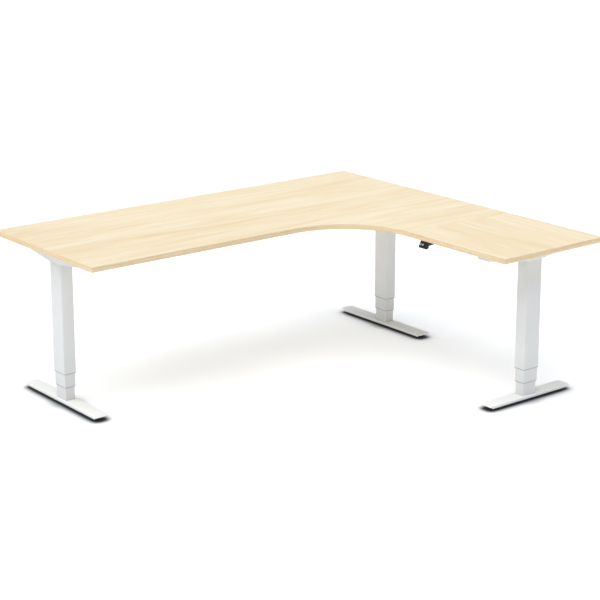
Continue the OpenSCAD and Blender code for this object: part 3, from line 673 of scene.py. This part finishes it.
for leg in LEGS:
    arm_w, arm_l = across_and_along(leg, "arm")
    arm_low, arm_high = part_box(leg + "_arm")
    deep = arm_high.z - arm_low.z
    flat = TUBE_L / 2 + ARM_CHEEK
    half = arm_l / 2
    stations = [(-half, ARM_END_H), (-half + ARM_T, ARM_END_H), (-flat, deep), (flat, deep),
                (half - ARM_T, ARM_END_H), (half, ARM_END_H)]
    mesh = bmesh.new()
    outside = [[mesh.verts.new((x, y, z)) for x, z in trough(arm_w, drop, 0, ARM_FOLD_R)] for y, drop in stations]
    inside = [[mesh.verts.new((x, y, z)) for x, z in trough(arm_w, drop, ARM_T, ARM_FOLD_R)]
              for y, drop in stations[1:-1]]
    for shell in (outside, inside):
        for near, far in zip(shell, shell[1:]):
            for k in range(len(near) - 1):
                mesh.faces.new((near[k], near[k + 1], far[k + 1], far[k]))
    for side in (0, -1):
        rim_out = [ring[side] for ring in outside]
        rim_in = [inside[0][side]] + [ring[side] for ring in inside] + [inside[-1][side]]
        for k in range(len(rim_out) - 1):
            corners = [rim_out[k], rim_out[k + 1], rim_in[k + 1], rim_in[k]]
            mesh.faces.new([v for n, v in enumerate(corners) if v not in corners[:n]])
    mesh.faces.new(outside[0])
    mesh.faces.new(outside[-1])
    mesh.faces.new(inside[0])
    mesh.faces.new(inside[-1])
    for end_out, end_in in ((outside[0], inside[0]), (outside[-1], inside[-1])):
        mesh.faces.new((end_out[0], end_out[-1], end_in[-1], end_in[0]))
    bmesh.ops.recalc_face_normals(mesh, faces=mesh.faces)
    rims = [e for e in mesh.edges if e.calc_length() > 20 * MM and e.calc_face_angle(0) > REAL_CORNER]
    bmesh.ops.bevel(mesh, geom=rims, offset=0.5 * MM, segments=2, profile=0.5, affect="EDGES", clamp_overlap=True)
    bmesh.ops.transform(mesh, matrix=leg_frame(leg), verts=mesh.verts)
    piece(leg + "_folded_arm", mesh, [shade_greyed_white_coat], "desk", [leg + "_arm"])


# ---------- The two beams ----------
# Steel tube of 50 by 40 mm with a 4 mm plate welded to each end. The main beam joins the left and the corner
# arms; the return's beam runs from its arm to the main beam and is screwed to its side.
def weld_tree():
    """A weld bead along a line: a round bead with the ripples that the moving pool leaves, about 2 mm apart."""
    tree = bpy.data.node_groups.new("weld_bead", "GeometryNodeTree")
    given = ports_of(tree, ("Bead radius", "Float"), ("Ripple", "Float"), ("Step", "Float"), ("Finish", "Material"))
    line = add(tree, "GeometryNodeMeshToCurve", {"Mesh": given.outputs["Geometry"]})
    even = add(tree, "GeometryNodeResampleCurve", {"Curve": line.outputs["Curve"], "Length": given.outputs["Step"]},
               mode="LENGTH")
    section = add(tree, "GeometryNodeCurvePrimitiveCircle", {"Radius": given.outputs["Bead radius"]}, Resolution=8)
    bead = add(tree, "GeometryNodeCurveToMesh",
               {"Curve": even.outputs["Curve"], "Profile Curve": section.outputs["Curve"]})
    rough = add(tree, "ShaderNodeTexNoise", Scale=520.0, Detail=1.0)
    lift = add(tree, "ShaderNodeMath", {0: rough.outputs["Fac"], 1: given.outputs["Ripple"]}, operation="MULTIPLY")
    outwards = add(tree, "GeometryNodeInputNormal")
    offset = add(tree, "ShaderNodeVectorMath", {0: outwards.outputs["Normal"], "Scale": lift.outputs["Value"]},
                 operation="SCALE")
    rippled = add(tree, "GeometryNodeSetPosition",
                  {"Geometry": bead.outputs["Mesh"], "Offset": offset.outputs["Vector"]})
    return close_tree(tree, given, rippled.outputs["Geometry"])


welds = weld_tree()


def loop_mesh(name, points):
    """A closed line as a mesh of edges."""
    data = bpy.data.meshes.new(name)
    data.from_pydata(points, [(k, (k + 1) % len(points)) for k in range(len(points))], [])
    return data


BEAM_W = 50 * MM
BEAM_H = 40 * MM
BEAM_R = 3 * MM
PLATE_T = 4 * MM
BEAD = 1.8 * MM
beam_mid_z = UNDER_Z - BEAM_H / 2
arm_boxes = {leg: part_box(leg + "_arm") for leg in LEGS}


def beam(name, node, start, direction, length, plates):
    """A tube from a start along a direction, and its end plates as (distance along, width, bottom, top)."""
    mesh = bmesh.new()
    tube = stack(mesh, rounded(BEAM_W, BEAM_H, BEAM_R), [(0, PLATE_T / 2), (0, length - PLATE_T / 2)])
    upwards = Vector((0, 0, 1))
    square = Matrix((upwards.cross(direction), upwards, direction)).transposed().to_4x4()
    place = Matrix.Translation((start.x, start.y, beam_mid_z)) @ square
    moved(mesh, tube, place)
    lines = []
    for at, width, bottom, top in plates:
        plate = stack(mesh, rounded(width, top - bottom, 2.5 * MM), slab(at, at + PLATE_T, 0.5 * MM))
        moved(mesh, plate, place @ Matrix.Translation((0, (top + bottom) / 2 - beam_mid_z, 0)))
        face = at + PLATE_T if at < length / 2 else at
        lines.append([place @ Vector((p.x, p.y, face)) for p in rounded(BEAM_W, BEAM_H, BEAM_R)])
    bmesh.ops.recalc_face_normals(mesh, faces=mesh.faces)
    piece(name, mesh, [shade_greyed_white_coat], "desk", [node])
    for number, points in enumerate(lines):
        made = grown(f"{name}_weld_{number}", loop_mesh(f"{name}_line_{number}", points), welds,
                     Bead_radius=BEAD, Ripple=1.1 * MM, Step=0.9 * MM, Finish=shade_greyed_white_coat)
        for vert in made.vertices:
            vert.co.z = min(vert.co.z, UNDER_Z - 0.1 * MM)
        piece(f"{name}_weld_{number + 1}", made, [shade_greyed_white_coat], "desk", [], 60)


plate_top = UNDER_Z - 1 * MM
arm_deep = arm_boxes["left"][1].z - arm_boxes["left"][0].z
plate_low = UNDER_Z - arm_deep + 1 * MM
a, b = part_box("main_beam")
main_y = (arm_boxes["left"][0].y + arm_boxes["left"][1].y) / 2
beam("main_steel_beam", "main_beam", Vector((a.x, main_y, 0)), Vector((1, 0, 0)), b.x - a.x,
     [(0, b.y - a.y, plate_low, plate_top), (b.x - a.x - PLATE_T, b.y - a.y, plate_low, plate_top)])
a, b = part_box("return_beam")
return_x = (arm_boxes["right"][0].x + arm_boxes["right"][1].x) / 2
tee_low = UNDER_Z - BEAM_H - 6 * MM
beam("return_steel_beam", "return_beam", Vector((return_x, a.y, 0)), Vector((0, 1, 0)), b.y - a.y,
     [(0, b.x - a.x, plate_low, plate_top),
      (b.y - a.y - PLATE_T, b.x - a.x, tee_low, plate_top)])


# ---------- The columns ----------
# Three steel tubes in each leg slide one inside the other: the outer one hangs from its arm, the inner one
# stands on the foot. All are powder coated, with a closing plate inside, and plastic rings guide them, coloured
# grey as painted shade along each tube's lower end.
def acetal(name):
    """Moulded acetal: slightly translucent, with a soft even gloss. Its grey next to the powder coat is painted
    shade: it draws a thin dark line round each tube where it leaves the next."""
    material = moulded(name, "#9C9D9D", "#949595", 0.36, 0.9, 0.05)
    shader = next(n for n in material.node_tree.nodes if n.type == "BSDF_PRINCIPLED")
    shader.inputs["Subsurface Weight"].default_value = 0.12
    shader.inputs["Subsurface Radius"].default_value = (0.004, 0.004, 0.003)
    shader.inputs["Subsurface Scale"].default_value = 0.5
    return material


TUBE_WALL = 1.8 * MM
STAGES = (("outer_tube", 5 * MM, "top", 5 * MM), ("middle_tube", 4.5 * MM, "top", 7 * MM),
          ("inner_tube", 4 * MM, "bottom", 8 * MM))
SPINDLE_HOLE_R = 11.1 * MM
for leg in LEGS:
    for node, corner_r, plate_end, plate_t in STAGES:
        a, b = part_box(f"{leg}_{node}")
        width, length = across_and_along(leg, node)
        mesh = bmesh.new()
        lip = 0.5 * MM
        stack(mesh, rounded(width, length, corner_r, 8),
              [(lip, a.z), (0.15 * MM, a.z + 0.15 * MM), (0, a.z + lip), (0, b.z - lip), (0.15 * MM, b.z - 0.15 * MM),
               (lip, b.z), (TUBE_WALL, b.z), (TUBE_WALL, a.z)], hollow=True)
        plate_z = b.z - plate_t if plate_end == "top" else a.z + 0.2 * MM
        holes = [(0, 0, SPINDLE_HOLE_R)] if node == "middle_tube" else ()
        stack(mesh, rounded(width - 1.9 * TUBE_WALL, length - 1.9 * TUBE_WALL, corner_r - 0.9 * TUBE_WALL),
              [(0, plate_z), (0, plate_z + plate_t - 0.2 * MM)], holes=holes)
        bmesh.ops.transform(mesh, matrix=leg_frame(leg), verts=mesh.verts)
        body = {"outer_tube": "desk", "middle_tube": STAGE[leg], "inner_tube": BASE[leg]}[node]
        piece(f"{leg}_{node}_steel", mesh, [shade_greyed_white_coat], body, [f"{leg}_{node}"])
# The rings' grey is painted shade: a thin dark line round each tube's end.
dress(acetal("grey_acetal_painted_shade"), "outer_guide_rings",
      *(f"{leg}_{part}" for leg in LEGS for part in ("middle_guides", "inner_guide", "spindle_nut")))


# ---------- The drives inside the columns ----------
# A geared motor hangs in the head of each column and turns a steel spindle. The spindle drives a hollow one,
# so the two lift the two upper tubes together. They are only seen if a column is taken apart.
def rolled_thread(name):
    """Rolled trapezoidal thread on steel, 4 mm from one turn to the next: the grooves are painted darker as
    painted shade and the crests lighter as painted highlight.
    """
    material, shader = new_material(name)
    tree = material.node_tree
    shader.inputs["Metallic"].default_value = 1.0
    place = add(tree, "ShaderNodeTexCoord").outputs["Object"]
    thread = add(tree, "ShaderNodeTexWave", {"Vector": place}, wave_type="BANDS", bands_direction="Z", Scale=78.5,
                 Distortion=0.0).outputs["Fac"]
    # Painted shade in the thread's grooves and painted highlight on its crests.
    colour = add(tree, "ShaderNodeValToRGB", {"Fac": thread}, ((0.25, "#5F6266"), (0.7, "#B9BCBF"))).outputs["Color"]
    dull = add(tree, "ShaderNodeMapRange", {"Value": thread}, _1=0.2, _2=0.8, _3=0.45, _4=0.24)
    finish_surface(material, shader, colour, dull.outputs["Result"], thread, 0.6, 0.0008)
    return material


dress(rolled_thread("rolled_thread_steel"),
      *(f"{leg}_{part}" for leg in LEGS for part in ("drive_spindle", "hollow_spindle")))
dress(metal("die_cast_aluminium", "#A9ABAD", "#8E9193", 0.46, 1.2, 0.2), *(leg + "_motor" for leg in LEGS))


# ---------- The feet ----------
# A steel T on its back: a 5 mm plate, 66 mm wide, with rounded edges, welded on a narrower rail of two
# walls with a threaded boss near each end. Its powder coat is painted whiter than the columns' copy of the same
# coat: painted light on the plates. M8 screws from below hold the column.
PLATE_LIP = 4 * MM
PLATE_EAR = 15 * MM
FOOT_PLATE_T = 5 * MM
RAIL_WALL = 2.5 * MM
BOSS_R = 7.5 * MM
STEM_HOLE_R = 4.1 * MM
GLIDE_INSET = 45 * MM
# The feet's copy of the coat is whiter than the columns' copy, as painted light on the plates.
light_whitened_foot_coat = powder_coat("white_powder_coat_whitened_as_light", "#F3F4F4", "#F0F1F1")
for leg in LEGS:
    a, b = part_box(leg + "_foot")
    width, length = across_and_along(leg, "foot")
    plate_z = b.z - FOOT_PLATE_T
    mesh = bmesh.new()
    stack(mesh, rounded(width, length, 2.2 * MM, 8),
          [(0.9 * MM, plate_z), (0.25 * MM, plate_z + 0.25 * MM), (0, plate_z + 0.9 * MM), (0, b.z - 1.2 * MM),
           (0.12 * MM, b.z - 0.7 * MM), (0.38 * MM, b.z - 0.34 * MM), (0.75 * MM, b.z - 0.1 * MM), (1.3 * MM, b.z)])
    rail_w, rail_l = width - 2 * PLATE_LIP, length - 2 * PLATE_EAR
    for side in (-1, 1):
        wall = stack(mesh, rounded(RAIL_WALL, rail_l, 0.6 * MM, 3), [(0, a.z), (0, plate_z)])
        moved(mesh, wall, Matrix.Translation((side * (rail_w - RAIL_WALL) / 2, 0, 0)))
        boss_t = BOSS_R - STEM_HOLE_R
        boss = stack(mesh, ring_of(BOSS_R, 32), [(0, a.z + MM), (0, plate_z), (boss_t, plate_z), (boss_t, a.z + MM)],
                     hollow=True)
        moved(mesh, boss, Matrix.Translation((0, side * (length / 2 - GLIDE_INSET), 0)))
    bmesh.ops.transform(mesh, matrix=leg_frame(leg), verts=mesh.verts)
    piece(leg + "_steel_foot", mesh, [light_whitened_foot_coat], BASE[leg], [leg + "_foot"], 40)


# ---------- The soles and the glides ----------
# A black polypropylene sole with round ends is pushed up into each rail and hides its edges; its black band is
# partly a real sole and partly painted shade under the raised rail. Under it, near each end, a broad ribbed
# glide on an M8 stem is turned by hand to level the desk.
polypropylene = moulded("black_polypropylene", "#0F0F10", "#0B0B0C", 0.58, 0.7, 0.15)
SOLE_EASED = 1.5 * MM
PLUG_L = 12 * MM
STEM_CLEAR_R = 8 * MM
for leg in LEGS:
    a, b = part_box(leg + "_sole")
    foot_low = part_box(leg + "_foot")[0].z
    foot_w, foot_l = across_and_along(leg, "foot")
    width, length = across_and_along(leg, "sole")
    half_l = length / 2 - width / 2
    ends = [Vector((width / 2 * math.cos(t), half_l + width / 2 * math.sin(t)))
            for t in (math.pi * k / 24 for k in range(25))]
    mesh = bmesh.new()
    stack(mesh, ends + [-p for p in ends],
          [(SOLE_EASED, a.z), (0.45 * MM, a.z + 0.45 * MM), (0, a.z + SOLE_EASED), (0, foot_low - 0.3 * MM),
           (0.3 * MM, foot_low)],
          holes=[(0, side * (foot_l / 2 - GLIDE_INSET), STEM_CLEAR_R) for side in (-1, 1)])
    plug_w = foot_w - 2 * PLATE_LIP - 2 * RAIL_WALL - 0.4 * MM
    for side in (-1, 1):
        plug = stack(mesh, rounded(plug_w, PLUG_L, 1.2 * MM), slab(foot_low - 0.1 * MM, b.z, 0.5 * MM))
        moved(mesh, plug, Matrix.Translation((0, side * ((foot_l - 2 * PLATE_EAR) / 2 - PLUG_L), 0)))
    bmesh.ops.transform(mesh, matrix=leg_frame(leg), verts=mesh.verts)
    # The sole's black is partly its own and partly painted shade under the rail.
    piece(leg + "_moulded_sole", mesh, [polypropylene], BASE[leg], [leg + "_sole"], 50)


def ribs_tree():
    """Small upright ribs evenly round a disc, for the fingers to turn it by."""
    tree = bpy.data.node_groups.new("ribs_round_a_disc", "GeometryNodeTree")
    given = ports_of(tree, ("Count", "Int"), ("Radius", "Float"), ("Rib radius", "Float"), ("Rib height", "Float"),
                     ("Lift", "Float"), ("Finish", "Material"))
    ring = add(tree, "GeometryNodeMeshCircle",
               {"Vertices": given.outputs["Count"], "Radius": given.outputs["Radius"]})
    rib = add(tree, "GeometryNodeMeshCylinder",
              {"Radius": given.outputs["Rib radius"], "Depth": given.outputs["Rib height"]}, Vertices=8)
    up = add(tree, "ShaderNodeCombineXYZ", {"Z": given.outputs["Lift"]})
    raised = add(tree, "GeometryNodeTransform",
                 {"Geometry": rib.outputs["Mesh"], "Translation": up.outputs["Vector"]})
    copies = add(tree, "GeometryNodeInstanceOnPoints",
                 {"Points": ring.outputs["Mesh"], "Instance": raised.outputs["Geometry"]})
    both = add(tree, "GeometryNodeJoinGeometry")
    tree.links.new(copies.outputs["Instances"], both.inputs["Geometry"])
    tree.links.new(given.outputs["Geometry"], both.inputs["Geometry"])
    return close_tree(tree, given, both.outputs["Geometry"])


STEM_R = 4 * MM
RIB_R = 0.8 * MM
RIB_H = 1.1 * MM
GLIDE_H = 2 * MM
ribs = ribs_tree()
for leg in LEGS:
    for end in ("front", "back"):
        node = f"{leg}_{end}_glide"
        a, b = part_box(node)
        glide_r = (b.x - a.x) / 2
        disc_r = glide_r - RIB_R
        mesh = bmesh.new()
        stack(mesh, ring_of(disc_r, 48),
              [(0.9 * MM, a.z), (0.3 * MM, a.z + 0.25 * MM), (0, a.z + 0.7 * MM), (0, GLIDE_H - 0.4 * MM),
               (0.4 * MM, GLIDE_H), (disc_r - STEM_R - 2 * MM, GLIDE_H)])
        start = bpy.data.meshes.new(node + "_disc")
        mesh.to_mesh(start)
        mesh.free()
        made = grown(node, start, ribs, Count=40, Radius=disc_r, Rib_radius=RIB_R, Rib_height=RIB_H,
                     Lift=a.z + GLIDE_H / 2 + 0.1 * MM, Finish=polypropylene)
        mesh = bmesh.new()
        mesh.from_mesh(made)
        stem = stack(mesh, ring_of(STEM_R, 24), [(0, GLIDE_H - 0.2 * MM), (0, b.z - 0.8 * MM), (0.8 * MM, b.z)])
        for face in {f for v in stem for f in v.link_faces}:
            face.material_index = 1
        moved(mesh, mesh.verts, Matrix.Translation(((a.x + b.x) / 2, (a.y + b.y) / 2, 0)))
        data = bpy.data.meshes.new(node + "_mesh")
        mesh.to_mesh(data)
        mesh.free()
        data.materials.clear()
        data.materials.append(polypropylene)
        piece(node + "_ribbed", data, [polypropylene, zinc], body_of(node), [node], 40)


# ---------- The control box ----------
# A closed ABS box screwed up under the main board. It holds the power supply and has a row of sockets along
# its front for the legs and the hand switch, and the mains inlet behind. No leads are modelled.
dress(moulded("grey_black_abs", "#3A3B3D", "#333436", 0.5, 1.1, 0.25), "control_box")


# ---------- The hand switch ----------
# A flat ABS housing under the return's inner edge with a deep lip in front, whose face leans out so that it
# can be read from above. It is moulded in one piece, open against the board, and screwed up through a tab.
panel_abs = moulded("black_textured_abs", "#17171A", "#101012", 0.44, 0.8, 0.22)
a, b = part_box("control_panel")
panel_w = b.y - a.y
panel_y = (a.y + b.y) / 2
PANEL_LEAN = INNER_X - a.x
FACE_DROP = 26 * MM
PANEL_CORNER_R = 7 * MM
TAB_T = 3 * MM
TAB_L = 16 * MM
body_l = b.x - INNER_X - TAB_L
LIP_BACK = Vector((-2 * MM, a.z - UNDER_Z))
LIP_NECK = Vector((3 * MM, -15 * MM))
BODY_TAIL = -12 * MM
face_top = Vector((INNER_X, 0, UNDER_Z))
down_face = Vector((-PANEL_LEAN, 0, -FACE_DROP)).normalized()
outwards = Vector((down_face.z, 0, -down_face.x))
buttons = [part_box("up_button"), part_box("down_button")]
BUTTON_S = buttons[0][1].y - buttons[0][0].y - 2 * MM
button_y = [(p.y + q.y) / 2 for p, q in buttons]
POCKET = BUTTON_S / 2 + 0.3 * MM
POCKET_DEEP = 4.5 * MM
BUTTON_DOWN = 15.5 * MM
SKIM = 0.05 * MM


def panel_section(y):
    """The side of the housing at one place along it, from the top of the face round to the top of the tail,
    as x from the board's edge and z from the board. The lip is cut short in its round lower corners."""
    short = max(PANEL_CORNER_R - min(y - a.y, b.y - y), 0.0)
    cut = PANEL_CORNER_R - math.sqrt(PANEL_CORNER_R ** 2 - short ** 2)
    low_z = LIP_BACK.y + cut
    front = [Vector((down_face.x * d, down_face.z * d)) for d in (0, BUTTON_DOWN - POCKET, BUTTON_DOWN + POCKET)]
    for x, z in ((-PANEL_LEAN, -FACE_DROP), (-PANEL_LEAN + MM, -FACE_DROP - 3 * MM),
                 (-PANEL_LEAN + 4 * MM, LIP_BACK.y)):
        front.append(Vector((x, z)) if z >= low_z else Vector((max(x, low_z * PANEL_LEAN / FACE_DROP), low_z)))
    back_x = LIP_BACK.x + cut * (LIP_NECK.x - LIP_BACK.x) / (LIP_NECK.y - LIP_BACK.y)
    return front + [Vector((back_x, low_z)), LIP_NECK, Vector((body_l, BODY_TAIL)), Vector((body_l, -SKIM))]


CORNER_STEPS = 8
rounding = [PANEL_CORNER_R * (1 - math.cos(math.pi / 2 * k / CORNER_STEPS)) for k in range(CORNER_STEPS + 1)]
pocket_sides = [y + s * POCKET for y in button_y for s in (-1, 1)]
columns = sorted([a.y + d for d in rounding] + [b.y - d for d in rounding] + pocket_sides)
mesh = bmesh.new()
grid = [[mesh.verts.new((INNER_X + p.x, y, UNDER_Z + p.y - SKIM * (p.y == 0))) for p in panel_section(y)]
        for y in columns]
rows = len(grid[0])
floor_verts = {}


def in_pocket(k, row):
    """Whether a cell of the face is one of those a key sits in."""
    middle = (columns[k] + columns[k + 1]) / 2 if 0 <= k < len(columns) - 1 else 0.0
    return row == 1 and any(abs(middle - y) < POCKET for y in button_y)


def floor_vert(k, row):
    """The point of a pocket's floor under a point of the face."""
    if (k, row) not in floor_verts:
        floor_verts[k, row] = mesh.verts.new(grid[k][row].co - outwards * POCKET_DEEP)
    return floor_verts[k, row]


for k in range(len(columns) - 1):
    for row in range(rows - 1):
        ring = [(k, row), (k, row + 1), (k + 1, row + 1), (k + 1, row)]
        if not in_pocket(k, row):
            mesh.faces.new([grid[i][j] for i, j in ring])
            continue
        mesh.faces.new([floor_vert(i, j) for i, j in ring])
        for side, beyond in enumerate(((k - 1, row), (k, row + 1), (k + 1, row), (k, row - 1))):
            if not in_pocket(*beyond):
                one, two = ring[side], ring[(side + 1) % 4]
                mesh.faces.new((grid[one[0]][one[1]], grid[two[0]][two[1]], floor_vert(*two), floor_vert(*one)))
mesh.faces.new(grid[0])
mesh.faces.new(list(reversed(grid[-1])))
mesh.faces.new([column[0] for column in grid] + [column[-1] for column in reversed(grid)])
bmesh.ops.remove_doubles(mesh, verts=mesh.verts, dist=0.01 * MM)
bmesh.ops.recalc_face_normals(mesh, faces=mesh.faces)
SHARP_TURN = 0.45
BOARD_SIDE = UNDER_Z - MM
TOUCHING = 0.001 * MM
BODY_FROM_X = INNER_X - 8 * MM


def above_face(vert):
    """How far a point stands out of the face, or behind it."""
    return (vert.co - face_top).dot(outwards)


def rim_point(vert):
    """Whether a point is on the face, at an end or on the body, and not down in a pocket."""
    at_end = min(abs(vert.co.y - a.y), abs(vert.co.y - b.y)) < TOUCHING
    return above_face(vert) > -POCKET_DEEP + 0.1 * MM or at_end or vert.co.x > BODY_FROM_X


def pocket_floor_point(vert):
    """Whether a point is on the floor of a pocket."""
    beside_key = any(abs(vert.co.y - y) < POCKET + SKIM for y in button_y)
    return beside_key and abs(above_face(vert) + POCKET_DEEP) < SKIM


bevelled = [e for e in mesh.edges if e.is_manifold and e.calc_face_angle(0) > SHARP_TURN
            and min(v.co.z for v in e.verts) < BOARD_SIDE and all(rim_point(v) for v in e.verts)
            and not any(pocket_floor_point(v) for v in e.verts)]
bmesh.ops.bevel(mesh, geom=bevelled, offset=0.6 * MM, segments=3, profile=0.5, affect="EDGES", clamp_overlap=True)
tab = stack(mesh, rounded(TAB_L, panel_w, 2 * MM), slab(UNDER_Z - TAB_T, UNDER_Z - SKIM, 0.5 * MM))
moved(mesh, tab, Matrix.Translation((INNER_X + body_l + TAB_L / 2 - 0.5 * MM, panel_y, 0)))
piece("hand_switch_housing", mesh, [panel_abs], "desk", ["control_panel"], 35)


# ---------- The keys of the hand switch ----------
# Two square ABS keys, slightly dished, that sink 1.2 mm into the housing against their springs. A white arrow
# is pad printed on each: one key raises the desk and the other lowers it.
key_abs = moulded("black_key_abs", "#1E1E21", "#18181B", 0.40, 0.6, 0.12)
print_white, shader = new_material("white_pad_print")
tree = print_white.node_tree
place = add(tree, "ShaderNodeTexCoord").outputs["Object"]
ink = add(tree, "ShaderNodeTexNoise", {"Vector": place}, Scale=2500.0, Detail=2.0).outputs["Fac"]
white = add(tree, "ShaderNodeValToRGB", {"Fac": ink}, ((0.3, "#E6E6E4"), (0.6, "#F6F6F4"))).outputs["Color"]
finish_surface(print_white, shader, white, None, ink, 0.1, 0.00002)
shader.inputs["Roughness"].default_value = 0.55
KEY_PROUD = 1 * MM
KEY_TRAVEL_ROOM = 2.4 * MM
ARROW = 7.6 * MM
facing = Matrix((Vector((0, -1, 0)), -down_face, outwards)).transposed().to_4x4()
arrow = [(-0.19, -0.5), (0.19, -0.5), (0.19, -0.04), (0.46, -0.04), (0.0, 0.5), (-0.46, -0.04), (-0.19, -0.04)]
for name, y, sign in (("up", button_y[0], 1), ("down", button_y[1], -1)):
    mesh = bmesh.new()
    stack(mesh, rounded(BUTTON_S, BUTTON_S, 1.6 * MM),
          [(0, -KEY_TRAVEL_ROOM), (0, KEY_PROUD - 0.7 * MM), (0.2 * MM, KEY_PROUD - 0.2 * MM), (0.6 * MM, KEY_PROUD),
           (1.3 * MM, KEY_PROUD - 0.05 * MM), (2.6 * MM, KEY_PROUD - 0.22 * MM), (4.0 * MM, KEY_PROUD - 0.3 * MM)])
    before = set(mesh.faces)
    outline = [Vector((x * ARROW, z * ARROW * sign)) for x, z in (arrow if sign > 0 else reversed(arrow))]
    stack(mesh, outline, [(0, KEY_PROUD - 0.35 * MM), (0, KEY_PROUD - 0.05 * MM)])
    for face in set(mesh.faces) - before:
        face.material_index = 1
    bmesh.ops.recalc_face_normals(mesh, faces=mesh.faces)
    centre = face_top + down_face * BUTTON_DOWN + Vector((0, y, 0))
    bmesh.ops.transform(mesh, matrix=Matrix.Translation(centre) @ facing, verts=mesh.verts)
    button = name + "_button"
    piece(name + "_key", mesh, [key_abs, print_white], body_of(button), [button], 40)


# ---------- The studio ----------
# A plain white floor that is faintly lit from within, one broad soft light high on the left, and an even pale
# sky. The camera stands about seven metres off at the desk's open corner, with a 102 mm lens, looking down.
paper, shader = new_material("matt_white_floor")
tree = paper.node_tree
place = add(tree, "ShaderNodeTexCoord").outputs["Object"]
speck = add(tree, "ShaderNodeTexNoise", {"Vector": place}, Scale=3.0, Detail=2.0).outputs["Fac"]
# Painted shadow: the floor's colour and its glow are made darker within a few centimetres of the soles.
close_by = add(tree, "ShaderNodeAmbientOcclusion", Distance=0.075, samples=16)
painted_contact_shadow = add(tree, "ShaderNodeValToRGB", {"Fac": close_by.outputs["AO"]},
              ((0.48, "#3C3C3C"), (0.72, "#A6A6A6"), (0.88, "#DEDEDE"), (0.98, "#FFFFFF"))).outputs["Color"]
for port, even in (("Base Color", add(tree, "ShaderNodeValToRGB", {"Fac": speck},
                                      ((0.3, "#D9DADC"), (0.7, "#DDDEE0"))).outputs["Color"]),
                   ("Emission Color", add(tree, "ShaderNodeValToRGB", {"Fac": speck},
                                          ((0.3, "#F4F8FD"), (0.7, "#F8FBFF"))).outputs["Color"])):
    # Both the floor's colour and its glow carry the painted shadow near the soles.
    shadow_painted_in = add(tree, "ShaderNodeMix", {6: even, 7: painted_contact_shadow}, data_type="RGBA", blend_type="MULTIPLY", _0=1.0)
    tree.links.new(shadow_painted_in.outputs[2], shader.inputs[port])
shader.inputs["Emission Strength"].default_value = 0.46
shader.inputs["Roughness"].default_value = 0.7
shader.inputs["Specular IOR Level"].default_value = 0.2
FLOOR_R = 60.0
FLOOR_SIDES = 96
edge = [(FLOOR_R * math.cos(math.tau * k / FLOOR_SIDES), FLOOR_R * math.sin(math.tau * k / FLOOR_SIDES))
        for k in range(FLOOR_SIDES)]


def set_piece(name, points, faces, material):
    """Adds a part of the studio, which is not a piece of the desk."""
    data = bpy.data.meshes.new(name)
    data.from_pydata(points, [], faces)
    data.materials.append(material)
    made = bpy.data.objects.new(name, data)
    bpy.context.scene.collection.objects.link(made)


set_piece("floor", [(x, y, 0) for x, y in edge], [tuple(range(FLOOR_SIDES))], paper)

# The floor ends at a plain lit wall, so that a low view has a white ground behind the desk as well.
screen, shader = new_material("lit_white_backdrop")
tree = screen.node_tree
place = add(tree, "ShaderNodeTexCoord").outputs["Object"]
cloth = add(tree, "ShaderNodeTexNoise", {"Vector": place}, Scale=0.2, Detail=1.0).outputs["Fac"]
white = add(tree, "ShaderNodeValToRGB", {"Fac": cloth}, ((0.3, "#FAFBFC"), (0.7, "#FFFFFF"))).outputs["Color"]
tree.links.new(white, shader.inputs["Emission Color"])
shader.inputs["Emission Strength"].default_value = 1.0
shader.inputs["Base Color"].default_value = (0.1, 0.1, 0.1, 1.0)
shader.inputs["Roughness"].default_value = 0.9
WALL_H = 10.0
set_piece("backdrop", [(x, y, z) for z in (0, WALL_H) for x, y in edge],
          [((k + 1) % FLOOR_SIDES, k, k + FLOOR_SIDES, (k + 1) % FLOOR_SIDES + FLOOR_SIDES)
           for k in range(FLOOR_SIDES)], screen)

world = bpy.data.worlds.new("pale_sky")
bpy.context.scene.world = world
world.use_nodes = True
sky = next(n for n in world.node_tree.nodes if n.type == "BACKGROUND")
sky.inputs["Color"].default_value = (0.88, 0.94, 1.0, 1.0)
sky.inputs["Strength"].default_value = 0.35

ceiling = bpy.data.lights.new("luminous_ceiling", "SUN")
ceiling.energy = 2.75
ceiling.angle = math.radians(65)
overhead = bpy.data.objects.new("luminous_ceiling", ceiling)
overhead.rotation_euler = (math.radians(4), math.radians(-22), 0.0)
bpy.context.scene.collection.objects.link(overhead)

lens = bpy.data.cameras.new("camera")
lens.lens = 102.0
lens.shift_y = -0.1
lens.clip_end = 200.0
camera = bpy.data.objects.new("camera", lens)
camera.location = (-4.468, -5.633, 2.537)
camera.rotation_euler = (math.radians(90 - 14.46), 0.0, math.radians(-38.53))
bpy.context.scene.collection.objects.link(camera)
bpy.context.scene.camera = camera
bpy.context.scene.view_settings.view_transform = "Standard"
